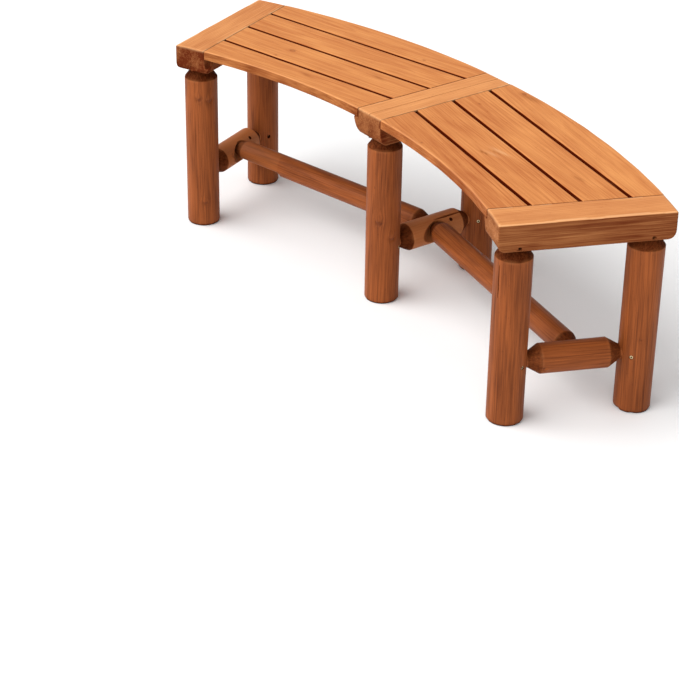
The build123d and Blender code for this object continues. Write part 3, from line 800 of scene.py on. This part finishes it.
# %% Make the cross rails
RAIL_TENON_RADIUS = 15.0
RAIL_CONE = math.radians(32)
RAIL_GAP = (BACK_LEGS - FRONT_LEGS) / 2 - LEG_RADIUS
RAIL_SHOULDER = RAIL_GAP - 0.4
RAIL_RIM = RAIL_SHOULDER - (CROSS_RAIL_RADIUS - RAIL_TENON_RADIUS) / math.tan(RAIL_CONE)
RAIL_END = RAIL_GAP + 44.0
NOSE_SCREW_PLACE = BACK_SHIFT + 32.0
NOSE_HOLE = (NOSE_SCREW_PLACE, SCREW_HOLE, 5.5)
half_profile = [(RAIL_RIM, CROSS_RAIL_RADIUS), (RAIL_SHOULDER, RAIL_TENON_RADIUS),
                (RAIL_END - TENON_CHAMFER, RAIL_TENON_RADIUS),
                (RAIL_END, RAIL_TENON_RADIUS - TENON_CHAMFER), (RAIL_END, 0.5)]
rail_line, rail_marks = outline(
    [(-a, r) for a, r in reversed(half_profile)] + half_profile,
    [0, 0, 0, 0, 3.0, 3.0, 0, 0, 0, 0], step=5.0)
# The left and middle rails' pale tones and paling are painted light under the seat; the right
# rail's cones are painted less dark.
cross_facts = {
    "left": dict(seed=71, tone=-0.7, painted_light=0.6, knots=[(20, -40, 4)], dimples=[(45, *NOSE_HOLE)]),
    "middle": dict(seed=83, tone=-0.9, painted_light=0.75, knots=[(200, 20, 5)],
                   checks=[(66, 0, 72, 4.5, 8.0)], dimples=[(45, *NOSE_HOLE), (135, *NOSE_HOLE)]),
    "right": dict(seed=97, tone=0.4, cone_stain_and_shade=0.5, knots=[(-20, -60, 4)],
                  dimples=[(135, *NOSE_HOLE)]),
}
for pair, facts in cross_facts.items():
    side = PAIRS[pair]
    centre = pair_spot(side)
    axis = (centre, pair_spot(side, 1.0) - centre, (0, 0, 1), pair_spot(side, 0.0, 1.0) - centre)
    notches = []
    for way in ((-1, 1) if side == 0 else (side,)):
        start, heading, length = long_axis[way]
        if side == 0:
            notches.append(flared_cut(start + heading * NOSE_SEAT, heading))
        else:
            notches.append(flared_cut(start + heading * (length - NOSE_SEAT), -heading))
    tube = log_tube(rail_line, rail_marks, axis, notches=notches, **facts)
    cross = lay_piece(f"log_cross_rail_{pair}", [tube], [f"cross_rail_{pair}"],
                      turned_fir)
print("cross rails made, last has", len(cross.data.polygons), "faces")

# %% [markdown]
# ## Long rails
# The two long rails are 50 mm logs. Each end tapers over its last 27 mm to a blunt nose 30 mm
# wide, which the cross rail's notch takes. On the left one a flat, 6 mm deep, was planed off the
# lower front near its outer end.

# %% Make the long rails
NOSE_TAPER = 27
long_facts = {
    "left": dict(seed=103, tone=0.05, knots=[(-80, -150, 4), (30, 60, 4)], planed=(140, 238, 6.0)),
    "right": dict(seed=113, tone=0.05, knots=[(-60, 70, 4), (120, -90, 5)]),
}
for pair, facts in long_facts.items():
    start, heading, length = long_axis[PAIRS[pair]]
    tip = length / 2 - NOSE_SEAT - NOSE_CLEARANCE
    profile = [(-tip, 0.5), (-tip, NOSE_RADIUS), (NOSE_TAPER - tip, LONG_RAIL_RADIUS),
               (tip - NOSE_TAPER, LONG_RAIL_RADIUS), (tip, NOSE_RADIUS), (tip, 0.5)]
    line, marks = outline(profile, [0, 3.0, 12.0, 12.0, 3.0, 0], step=5.0)
    axis = (start + heading * length / 2, np.cross(heading, (0, 0, 1)), (0, 0, 1), heading)
    tube = log_tube(line, marks, axis, **facts)
    rail = lay_piece(f"log_long_rail_{pair}", [tube], [f"long_rail_{pair}"],
                     turned_fir)
print("long rails made, last has", len(rail.data.polygons), "faces")

# %% [markdown]
# ## Beams
# A beam is half a log, sawn flat on top. Its section is carried along its radius, and both ends
# follow the seat's two arcs, so the end surface is where the section meets an arc of slightly
# changing radius: the lower end corners are rounded by 20 mm. Outer faces are planed. The inner
# sides are the log's own waney surface, so they wander more. At the front of two beams the ledge is
# broken away under the first board's corner, which leaves a small pocket, painted dark as painted
# shade. Screws sit deep in 7 mm holes near the lower edge. Below the top the faces are painted
# darker, as soaked stain and painted shade, and the top arrises get a painted highlight.

# %% Ends on two arcs
BEAM_LOWER_ROUND = 20.0
BEAM_TOP_ROUND = 3.0


def drawn_in(past, radius):
    """How far a rounded edge lies inside at `past` mm into its round: r - sqrt(r^2 - past^2)."""
    return radius - np.sqrt(radius ** 2 - np.clip(past, 0, radius) ** 2)


def beam_face(arc, way, x, z):
    """Distance out from the centre of the beam's front (way 1) or back (way -1) at (x, z). It lies
    on the arc, drawn in by the rounds at its lower and upper edge."""
    inset = drawn_in(BEAM_BOTTOM + BEAM_LOWER_ROUND - z, BEAM_LOWER_ROUND)
    inset = inset + drawn_in(z - (SEAT_TOP - BEAM_TOP_ROUND), BEAM_TOP_ROUND)
    return np.sqrt((arc + way * inset) ** 2 - x ** 2)


def normals(section):
    """Outward unit normals of a closed section that runs anticlockwise."""
    ahead = np.roll(section, -1, axis=0) - np.roll(section, 1, axis=0)
    out = np.stack([ahead[:, 1], -ahead[:, 0]], axis=-1)
    return out / np.linalg.norm(out, axis=1, keepdims=True)


print("a beam's lower edge starts", round(beam_face(INNER, 1, 0, BEAM_BOTTOM) - INNER, 1), "mm in")

# %% A section carried between the two arcs
END_ROUND = 2.2
EASED = np.array([0.0, 0.3, 0.8, 1.4, END_ROUND])
CAP = np.array([0.015, 0.12, 0.25, 0.4, 0.54, 0.66, 0.76, 0.84, 0.9, 0.94, 0.965, 0.985])


def capped(body, end):
    """Places of all rings as a column, and how large each is. The rings of the body are whole, and
    those of the two caps, at 0 and at `end`, shrink by CAP towards the section's middle."""
    travel = np.concatenate([np.zeros(len(CAP)), body, np.full(len(CAP), end)])
    return travel[:, None], np.concatenate([CAP, np.ones(len(body)), CAP[::-1]])[:, None]


def beam_tube(section, marks, waney, angle, seed, seams, pocketed, end_stain_and_shade, holes=(), mirror=1,
              tone=0.0, bark_side=0.0):
    """Rings are the section at shares of the way from front to back. Within 2.2 mm of an end the
    section is drawn in by 2.2 - sqrt(2.2^2 - d^2). Waney sides wander, most where bark was left,
    and pocketed points near the front sink by up to 20 mm. A hole is (out, height, depth, side)."""
    across, up = section.T
    out_x, out_z = normals(section).T
    mid_x, mid_z = section.mean(0)
    run = stations(0, DEPTH, 6.0, [h[0] - INNER for h in holes], 0.6, 5.0)
    inner = run[(run > 2.5) & (run < DEPTH - 2.5)]
    travel, shrink = capped(np.concatenate([EASED, inner, DEPTH - EASED[::-1]]), DEPTH)
    to_end = np.minimum(travel, DEPTH - travel)
    inset = drawn_in(END_ROUND - to_end, END_ROUND)
    x = mid_x + shrink * (across - inset * out_x - mid_x)
    z = mid_z + shrink * (up - inset * out_z - mid_z)
    front, back = beam_face(INNER, 1, x, z), beam_face(OUTER, -1, x, z)
    y = front + (travel / DEPTH) * (back - front)

    # Waney sides and bark wander, planed faces stay nearly true, and holes and the pocket are sunk
    rough = waney * (0.9 * wander(seed, 60, x, z, 0.5 * y)
                     + 0.35 * wander(seed + 1, 16, x, z, 0.4 * y))
    bark = waney * bark_side * (up > BEAM_BOTTOM + 4) * bell(travel, 45, 4)
    rough = rough + 1.5 * bark * wander(seed + 9, 15, x, z, y)
    calm = 0.25 * wander(seed + 2, 90, x, z, y) - 0.25
    push_out = (rough + calm * (1 - waney)) * (shrink > 0.98)
    hollow = np.zeros_like(x)
    for place, level, depth, facing in holes:
        gap = np.sqrt((y - place) ** 2 + (z - level) ** 2)
        bored = in_hole(gap, SCREW_HOLE) * (out_x * facing > 0.7)
        x = x - depth * facing * bored
        hollow = np.maximum(hollow, bored)
    x = x + push_out * (1 - hollow) * out_x
    z = np.minimum(z + push_out * (1 - hollow) * out_z, SEAT_TOP)
    pocket = pocketed * bell(y - beam_face(INNER, 1, x, z), 24, 4)
    z = z - 20 * held((up - 380) / 30) * pocket

    # The tree's heart lies far off to one side. Below the top, in holes and in the pocket the wood
    # is painted dark, as soaked stain and painted shade, and seams are dark
    chance = np.random.default_rng(seed + 5)
    grain = np.stack([x - mid_x + chance.uniform(60, 90) + 0.015 * (y - INNER),
                      z - BEAM_BOTTOM + 25, y + chance.uniform(0, 4000)], axis=-1)
    sawn = (to_end < 0.5) * np.ones_like(x)
    below = held((SEAT_TOP - 1.5 - z) / 1.5)
    stain_and_shade = below * ((1 - sawn) * (0.8 + 0.04 * waney) + sawn * end_stain_and_shade)
    stain_and_shade = stain_and_shade + 0.1 * sawn * wander(seed + 7, 40, x, z)
    stain_and_shade = np.maximum(stain_and_shade, np.maximum(0.95 * hollow, pocket * (1 - sawn)))
    for seam in seams:
        joint = (np.abs(across - seam) < 1.1) * (up > SLAT_BOTTOM + 1) * (up < SEAT_TOP - 0.15)
        stain_and_shade = np.maximum(stain_and_shade, 1.3 * joint * (shrink > 0.99))
    # Top arrises and the tops near the ends are painted pale, as wear and a painted highlight.
    near_end = held(1 - to_end / 2.5) * held((z - 424) / 5)
    arris = marks * (z > SEAT_TOP - 2.2) * (z < SEAT_TOP - 0.3)
    return wood_tube(spot(angle, mirror * x, y, z), grain, np.full(x.shape, CLEAR_OF_KNOTS),
                     held(arris + 0.5 * near_end), sawn, stain_and_shade, tone)


def weigh_waney(section, sides):
    """1 on the log's own surface: below the ledge, on the given sides of the section."""
    return held((408 - section[:, 1]) / 4) * sides


print("a beam's end is eased over", END_ROUND, "mm")

# %% Make the end beams
BEAM_HOLE_LEVEL = BEAM_BOTTOM + 8.0
LEG_SCREW_SINK = 8.0


def finer(section, marks, low, high, fine=0.6):
    """The section with points `fine` apart on its last side, between the heights low and high."""
    run = run_along(section)
    across, up = section.T
    chosen = run[(run > run[-1] - 70) & (up > low) & (up < high) & (across > -8)]
    return with_more(section, marks, np.arange(chosen.min(), chosen.max(), fine), clear=0.2)


end_section, end_marks = outline(
    [(0, SEAT_TOP), (-END_STRIP, SEAT_TOP), (-END_STRIP, SLAT_BOTTOM), (-89, SLAT_BOTTOM),
     (-76, BEAM_BOTTOM), (0, BEAM_BOTTOM)],
    [5.0, 1.0, 0, 3.0, 10.0, 8.0], step=4.0, arc_step=0.8, closed=True)
end_section, end_marks = finer(end_section, end_marks, BEAM_HOLE_LEVEL - 5, BEAM_HOLE_LEVEL + 5)
end_waney = weigh_waney(end_section, end_section[:, 0] < -8)
end_ledge = (end_section[:, 0] < -END_STRIP - 0.5) * (end_section[:, 1] < SLAT_BOTTOM + 0.5)
holes = [(out, BEAM_HOLE_LEVEL, LEG_SCREW_SINK + 0.1, 1) for out in (FRONT_LEGS, BACK_LEGS)]
for pair, seed, tone, end_stain_and_shade in (("left", 131, 0.3, 0.64), ("right", 149, 0.1, 0.33)):
    side = PAIRS[pair]
    tube = beam_tube(end_section, end_marks, end_waney, side * BAY_ANGLE, seed, [-END_STRIP],
                     end_ledge * (side < 0), end_stain_and_shade, holes, side, tone)
    beam = lay_piece(f"half_log_beam_{pair}", [tube], [f"beam_{pair}"], sawn_fir)
print("end beams made, last has", len(beam.data.polygons), "faces")

# %% [markdown]
# ## The middle beam
# The middle beam is an uneven half log. Its left side is wide at the top, leans in and keeps lumps
# of bark near the front. Its right side flares at the bottom, and a fine groove down the strip
# shows where two staves are glued together.

# %% Make the middle beam
STRIP_SIDE = MIDDLE_STRIP / 2
GROOVE_HALF, GROOVE_DEPTH = 0.8, 1.3
middle_section, middle_marks = outline(
    [(STRIP_SIDE, SLAT_BOTTOM), (STRIP_SIDE, SEAT_TOP), (GROOVE_HALF, SEAT_TOP),
     (0, SEAT_TOP - GROOVE_DEPTH), (-GROOVE_HALF, SEAT_TOP), (-STRIP_SIDE, SEAT_TOP),
     (-STRIP_SIDE, SLAT_BOTTOM), (-53, SLAT_BOTTOM), (-36, BEAM_BOTTOM), (46, BEAM_BOTTOM),
     (41, SLAT_BOTTOM)],
    [0, 1.0, 0, 0, 0, 1.0, 0, 3.0, 9.0, 8.0, 1.5], step=4.0, arc_step=0.8, closed=True)
across, up = middle_section.T
middle_waney = weigh_waney(middle_section, np.ones_like(across))
middle_ledge = (across > 38.5) * (up < SLAT_BOTTOM + 0.5) * (up > BEAM_BOTTOM + 10)
tube = beam_tube(middle_section, middle_marks, middle_waney, 0.0, 167,
                 [-STRIP_SIDE, 0.0, STRIP_SIDE], middle_ledge, 0.42, tone=-0.1,
                 bark_side=across < -36)
beam = lay_piece("half_log_beam_middle", [tube], ["beam_middle"], sawn_fir)
print("middle beam has", len(beam.data.polygons), "faces")

# %% [markdown]
# ## Boards
# The eight boards are planed fir, 20 mm thick, with 8 mm gaps. Their long edges are eased, their
# ends meet the beams' strips, and the front and back ones are sawn to the arcs. A board's section
# is carried along the bay. Both its width and its ends depend on the place, so each point is
# settled by going round a few times: its place along the board from its place across, and back
# again. Where a crotch or a small branch lay under the saw, the figure flares pale or dark. One
# board shows a large pale flare of that kind, and some others a small dark one.

# %% Edges of a board, and its section
FIRST_GAP = 0.191 * DEPTH
PITCH = 0.278 * DEPTH
GAP = 8.0
LEAN = math.radians(HALF_BAY)
DRAWN_WIDTH = 90.0
TOP_ROUND = 2.4
END_BEVEL = 1.2
END_GAP = 0.5
BAY_RUN = 480  # about the length of a board


def board_edges(number):
    """Near and far edge of a board, as functions of the place along the bay. The edge on a gap is
    straight, and the first and the last edge are arcs."""
    def edge(gap, step, radius):
        middle = INNER + FIRST_GAP + (gap - 1) * PITCH + step * GAP / 2
        if radius:
            return lambda x: np.sqrt(radius ** 2 - x ** 2)
        return lambda x: middle + 0 * x
    return edge(number - 1, 1, INNER * (number == 1)), edge(number, -1, OUTER * (number == 4))


def beam_line(distance, strip):
    """Place along the bay where the line at this distance meets a strip's side."""
    return (distance * math.sin(LEAN) - strip) / math.cos(LEAN)


board_section, board_marks = outline(
    [(0, SLAT_BOTTOM), (DRAWN_WIDTH, SLAT_BOTTOM), (DRAWN_WIDTH, SEAT_TOP), (0, SEAT_TOP)],
    [1.5, 1.5, TOP_ROUND, TOP_ROUND], step=4.0, arc_step=0.5, closed=True)
board_ease = np.array([0.0, 0.3, 0.7, END_BEVEL]) / BAY_RUN
print("the first gap runs", round(FIRST_GAP, 1), "mm behind the front arc")

# %% A board between two beams
def board_tube(number, side, seed, knots=(), flames=(), arc_stain_and_shade=0.5, tone=0.0):
    """Section points keep their distance from the nearer edge on the rounds, and share the width
    between. The top is drawn down by 1.2 - d within 1.2 mm of each end, as a bevel. A flame is
    (back from the front arc, along, width, length, amount), pale if the amount is above 0."""
    near_edge, far_edge = board_edges(number)
    v, z0 = board_section.T
    share = held((v - TOP_ROUND) / (DRAWN_WIDTH - 2 * TOP_ROUND))
    offset = np.where(v < TOP_ROUND, v, np.where(v > DRAWN_WIDTH - TOP_ROUND, v - DRAWN_WIDTH,
                                                 TOP_ROUND - 2 * TOP_ROUND * share))
    reach = np.linspace(0, 1, 121)[1:-1]
    travel, shrink = capped(np.concatenate([board_ease, reach, 1 - board_ease[::-1]]), 1.0)
    part = 0.5 + shrink * (share - 0.5)
    lift = (SEAT_TOP + SLAT_BOTTOM) / 2
    z = lift + shrink * (z0 - lift)

    # Each place along the board follows from the place across, and that from the place along
    x = np.zeros_like(part)
    for _ in range(6):
        y = (1 - part) * near_edge(x) + part * far_edge(x) + shrink * offset
        left = -beam_line(y, MIDDLE_STRIP / 2 + END_GAP)
        right = beam_line(y, END_STRIP + END_GAP)
        x = left + travel * (right - left)

    # Bevelled ends, a top that dips by up to 0.3 mm, and a slight wave in the two sawn boards
    to_end = np.minimum(travel, 1 - travel) * BAY_RUN
    z = z - np.clip(END_BEVEL - to_end, 0, END_BEVEL) * (z > SEAT_TOP - 2.6)
    z = z - 0.12 * (1.6 + wander(seed, 120, x, y)) * (z > SEAT_TOP - 3)
    z = np.minimum(z, SEAT_TOP - 0.02)
    y = y + 0.3 * wander(seed + 1, 90, x) * np.sign(part - 0.5) * (number in (1, 4))

    # The board's own place in its tree
    chance = np.random.default_rng(seed + 5)
    nearest, push = knot_field(y - INNER, x, knots)
    nearest = CLEAR_OF_KNOTS - (CLEAR_OF_KNOTS - nearest) * held((z - 412) / 6)
    across = y + push - y.mean() - chance.uniform(-26, 26) + (x * chance.uniform(-0.05, 0.05))
    depth = z - SLAT_BOTTOM + chance.uniform(26, 60) + x * chance.uniform(-0.02, 0.02)
    grain = np.stack([across, depth, x + chance.uniform(0, 4000)], axis=-1)

    # Sides and ends are painted dark, as soaked stain and painted shade, darkest on the walls of
    # the gaps. Arrises on the sawn side and the ends get a painted highlight. A pale flame is
    # stored with the wear and highlights, a dark one with the stain and shade
    sawn = (to_end < 0.2) * np.ones_like(x)
    arc_side = (share < 0.5) * (number == 1) + (share > 0.5) * (number == 4)
    edge = held((SEAT_TOP - 0.9 - z) / 1.2)
    stain_and_shade = edge * np.where(arc_side > 0, arc_stain_and_shade + 0.12 * wander(seed + 3, 60, x, z), 1.05)
    stain_and_shade = np.maximum(stain_and_shade, 1.3 * held(1.3 - to_end))
    arris = board_marks * (z0 > SEAT_TOP - 2) * (shrink > 0.99)
    wear_and_highlight = arris * np.where(arc_side > 0, 0.25, 0.0)
    wear_and_highlight = wear_and_highlight + 0.15 * (held(1 - to_end / 2.5) * (z > SEAT_TOP - 2))
    for place, along, width, length, amount in flames:
        lean = y - INNER - place - 0.25 * (x - along)
        flame = np.exp(-(lean / width) ** 2 - ((x - along) / length) ** 2) * (z > SEAT_TOP - 3)
        wear_and_highlight = wear_and_highlight + max(amount, 0) * flame
        stain_and_shade = stain_and_shade + max(-amount, 0) * flame
    at = spot(HALF_BAY, x, y, z) * (side, 1, 1)
    return wood_tube(at, grain, nearest, held(wear_and_highlight), sawn, stain_and_shade, tone)


print("a board's ends stand", END_GAP, "mm off the strips")

# %% Make the boards
board_facts = {
    ("left", 1): dict(seed=211, tone=0.2, arc_stain_and_shade=0.62, flames=[(38, -45, 6, 18, -0.25)]),
    ("left", 2): dict(seed=223, knots=[(121, 72, 4.5), (77, 80, 2.2)],
                      flames=[(130, -169, 6, 20, -0.25)]),
    ("left", 3): dict(seed=227, tone=0.2),
    ("left", 4): dict(seed=229, tone=0.1, knots=[(275, -171, 2.5)]),
    ("right", 1): dict(seed=233, tone=0.75, knots=[(5, -110, 1.8)]),
    ("right", 2): dict(seed=239, tone=0.45, flames=[
        (128, -12, 4, 24, 1.0), (96, -22, 2.0, 12, -0.7), (118, -14, 2.0, 16, -0.35),
        (108, -10, 4, 20, 0.6)]),
    ("right", 3): dict(seed=241, tone=0.2, knots=[(202, -243, 2.0)],
                       flames=[(206, 157, 5, 14, -0.2)]),
    ("right", 4): dict(seed=251, tone=0.2, knots=[(312, -254, 3.5)],
                       flames=[(312, -230, 8, 25, -0.3)]),
}
for (pair, number), facts in board_facts.items():
    tube = board_tube(number, PAIRS[pair], **facts)
    board = lay_piece(f"board_{pair}_{number}", [tube], [f"slat_{pair}_{number}"],
                      planed_fir)
print("boards made, last has", len(board.data.polygons), "faces")

# %% [markdown]
# ## Screws
# Every screw is a countersunk head with a cross recess on a plain shank. The head is a disc of
# rings, lower by the recess's depth wherever a point lies inside the cross or in the round pit at
# its middle. Screws lie along their holes: level into the beams, level across the legs' sides, and
# slanting down through a cross rail into a long rail's nose.

# %% One screw
HEAD_RADIUS = 3.3
SHANK_RADIUS = 2.0
RECESS_DEPTH = 2.2


def screw_tube(head, point):
    """Rings about the line from head to point: the flat head with its recess, the cone below it,
    the shank and the tip. A place (p, q) is in the recess where |p| or |q| < 0.65 and both < 2.1
    mm, or within 1.7 mm of the middle."""
    head, point = np.array(head, float), np.array(point, float)
    length = np.linalg.norm(point - head)
    ahead = (point - head) / length
    guide = np.array((0, 0, 1.0)) if abs(ahead[2]) < 0.9 else np.array((1.0, 0, 0))
    across = np.cross(ahead, guide)
    across /= np.linalg.norm(across)
    other = np.cross(ahead, across)
    profile = [(0, r) for r in np.linspace(0.12, HEAD_RADIUS - 0.25, 12)]
    profile += [(0.12, HEAD_RADIUS), (0.8, HEAD_RADIUS), (2.4, SHANK_RADIUS),
                (length - 4, SHANK_RADIUS), (length, 0.3)]
    s, r = np.array(profile).T
    angle = np.radians(np.arange(0, 360, 10))
    p, q = r[:, None] * np.cos(angle), r[:, None] * np.sin(angle)
    cross = (np.minimum(np.abs(p), np.abs(q)) < 0.65) & (np.maximum(np.abs(p), np.abs(q)) < 2.1)
    cross = cross | (np.hypot(p, q) < 1.7)
    depth = s[:, None] + RECESS_DEPTH * cross * (s[:, None] < 0.01)
    return {"at": head + depth[..., None] * ahead + p[..., None] * across + q[..., None] * other}


print("a screw is drawn with", screw_tube((0, 0, 0), (30, 0, 0))["at"].shape[0], "rings")

# %% The three sets of screws
LEG_SCREW_LENGTH = 37.0
RAIL_SCREW_DEPTH = 50.0
NOSE_SCREW_SINK = 6.5
MIDDLE_BEAM_FACE = -39.4
NOSE_POINT = (4.3, 4.0, -12.0)


def nose_line(side, at_middle):
    """Head and point of the slanting screw through a cross rail into a long rail's nose. The point
    lies past the nose's tip, to one side and below the axis by the three lengths of NOSE_POINT."""
    start, heading, length = long_axis[side]
    rise = math.radians(45)
    reach = CROSS_RAIL_RADIUS * math.cos(rise) * side
    head = pair_spot(0 if at_middle else side, reach if at_middle else -reach, NOSE_SCREW_PLACE,
                     CROSS_RAIL_HEIGHT + CROSS_RAIL_RADIUS * math.sin(rise))
    past, aside, drop = NOSE_POINT
    along_rail = NOSE_SEAT + past if at_middle else length - NOSE_SEAT - past
    sideways = np.cross(heading, (0, 0, 1)) * side
    point = start + heading * along_rail + aside * sideways + (0, 0, drop)
    way = (point - head) / np.linalg.norm(point - head)
    return head + NOSE_SCREW_SINK * way, point


leg_screws, rail_screws = [], []
for pair, side in PAIRS.items():
    for end, out in (("front", FRONT_LEGS), ("back", BACK_LEGS)):
        way = -1 if side == 1 else 1
        start = (0.0 if side else MIDDLE_BEAM_FACE) + LEG_SCREW_SINK * way
        leg_screws.append(screw_tube(*(
            spot(side * BAY_ANGLE, place, out, BEAM_HOLE_LEVEL)
            for place in (start, start + LEG_SCREW_LENGTH * way))))
        turn = math.radians(RAIL_SCREW_TURN[end])
        leg_axis = -side * END_STRIP / 2
        rail_screws.append(screw_tube(*(
            spot(side * BAY_ANGLE, leg_axis + d * math.cos(turn), out + d * math.sin(turn),
                 CROSS_RAIL_HEIGHT)
            for d in (LEG_RADIUS - rail_screw_sink(pair, end), LEG_RADIUS - RAIL_SCREW_DEPTH))))
nose_screws = [screw_tube(*nose_line(side, inner)) for side in (-1, 1) for inner in (True, False)]
for name, screws, node, slot, metal in (
        ("leg_screw_set", leg_screws, "leg_tenon_screws", "steel_screws", dark_steel),
        ("rail_screw_set", rail_screws, "cross_rail_screws", "brass_screws", plated_brass),
        ("nose_screw_set", nose_screws, "long_rail_screws", "steel_screws", dark_steel)):
    lay_piece(name, screws, [node], metal, crease=25)
print("screws:", len(leg_screws), len(rail_screws), len(nose_screws))

# %% [markdown]
# ## Floor, light and camera
# The bench stands on a plain white floor in soft studio light. The key softbox is high at the
# front on the left, a weaker one fills in low from the front on the right, and an even white
# surround softens both. The camera has a 109 mm lens about 3.7 m away, high at the front on the
# right, so nothing is strongly foreshortened.

# %% The floor
def plain_floor():
    """One flat square, 40 m wide, finished in matt white paint with a faint mottle."""
    far = 20.0
    mesh = bpy.data.meshes.new("studio_floor")
    corners = [(-far, -far, 0), (far, -far, 0), (far, far, 0), (-far, far, 0)]
    mesh.from_pydata(corners, [], [(0, 1, 2, 3)])
    floor = bpy.data.objects.new("studio_floor", mesh)
    bpy.context.scene.collection.objects.link(floor)
    finish, tree = empty_material("matt_white_floor_paint")
    where = add(tree, "TexCoord", out="Object")
    mottle = add(tree, "TexNoise", {"Vector": where, "Scale": 3.0, "Detail": 2.0})
    colour = add(tree, "ValToRGB", {"Fac": mottle}, stops=[(0.3, "#F8F8F8"), (0.7, "#FBFBFB")])
    shader = add(tree, "BsdfPrincipled", {"Base Color": colour, "Roughness": 0.9})
    add(tree, "OutputMaterial", {"Surface": shader})
    mesh.materials.append(finish)
    return floor


floor = plain_floor()
print("floor is", floor.dimensions.x, "m wide")

# %% Lamps and surround
def far_softbox(name, towards, width, power):
    """A softbox so far off that its light is even: a sun lamp `width` degrees wide, that shines
    `towards` a direction given as right, back and up."""
    data = bpy.data.lights.new(name, "SUN")
    data.angle = math.radians(width)
    data.energy = power
    lamp = bpy.data.objects.new(name, data)
    bpy.context.scene.collection.objects.link(lamp)
    right, back, up = towards
    tip, pan = math.atan2(math.hypot(right, back), -up), math.atan2(back, right) - math.pi / 2
    lamp.rotation_euler = (tip, 0, pan)
    return lamp


key = far_softbox("key_softbox", (0.42, 0.8, -1.0), 60.0, 2.4)
fill = far_softbox("fill_softbox", (-0.5, 0.85, -0.55), 60.0, 1.25)
world = bpy.data.worlds.new("even_surround")
bpy.context.scene.world = world
world.use_nodes = True
surround = world.node_tree.nodes["Background"].inputs
surround["Color"].default_value = linear("#FFFFFF")
surround["Strength"].default_value = 0.5
bpy.context.scene.view_settings.view_transform = "Standard"
print("lamps:", key.name, key.data.energy, fill.name, fill.data.energy)

# %% The camera
CAMERA_PLACE = np.array((3068.5, -994.5 + ARC_CENTRE_Y, 2050.6)) * MM
CAMERA_TARGET = np.array((498.81, 905.93 + ARC_CENTRE_Y, 273.63)) * MM
ROLL = math.radians(0.87)
ahead = CAMERA_TARGET - CAMERA_PLACE
ahead /= np.linalg.norm(ahead)
level = np.cross(ahead, (0, 0, 1))
level /= np.linalg.norm(level)
rise = np.cross(level, ahead)
camera_x = level * math.cos(ROLL) + rise * math.sin(ROLL)
camera_y = rise * math.cos(ROLL) - level * math.sin(ROLL)
lens = bpy.data.cameras.new("studio_camera")
lens.sensor_width = 36.0
lens.lens = 109.0
lens.clip_end = 60.0
camera = bpy.data.objects.new("studio_camera", lens)
bpy.context.scene.collection.objects.link(camera)
placed = np.eye(4)
placed[:3] = np.stack([camera_x, camera_y, -ahead, CAMERA_PLACE], axis=-1)
camera.matrix_world = [list(row) for row in placed.T]
bpy.context.scene.camera = camera
print("lens", round(lens.lens, 1), "mm")
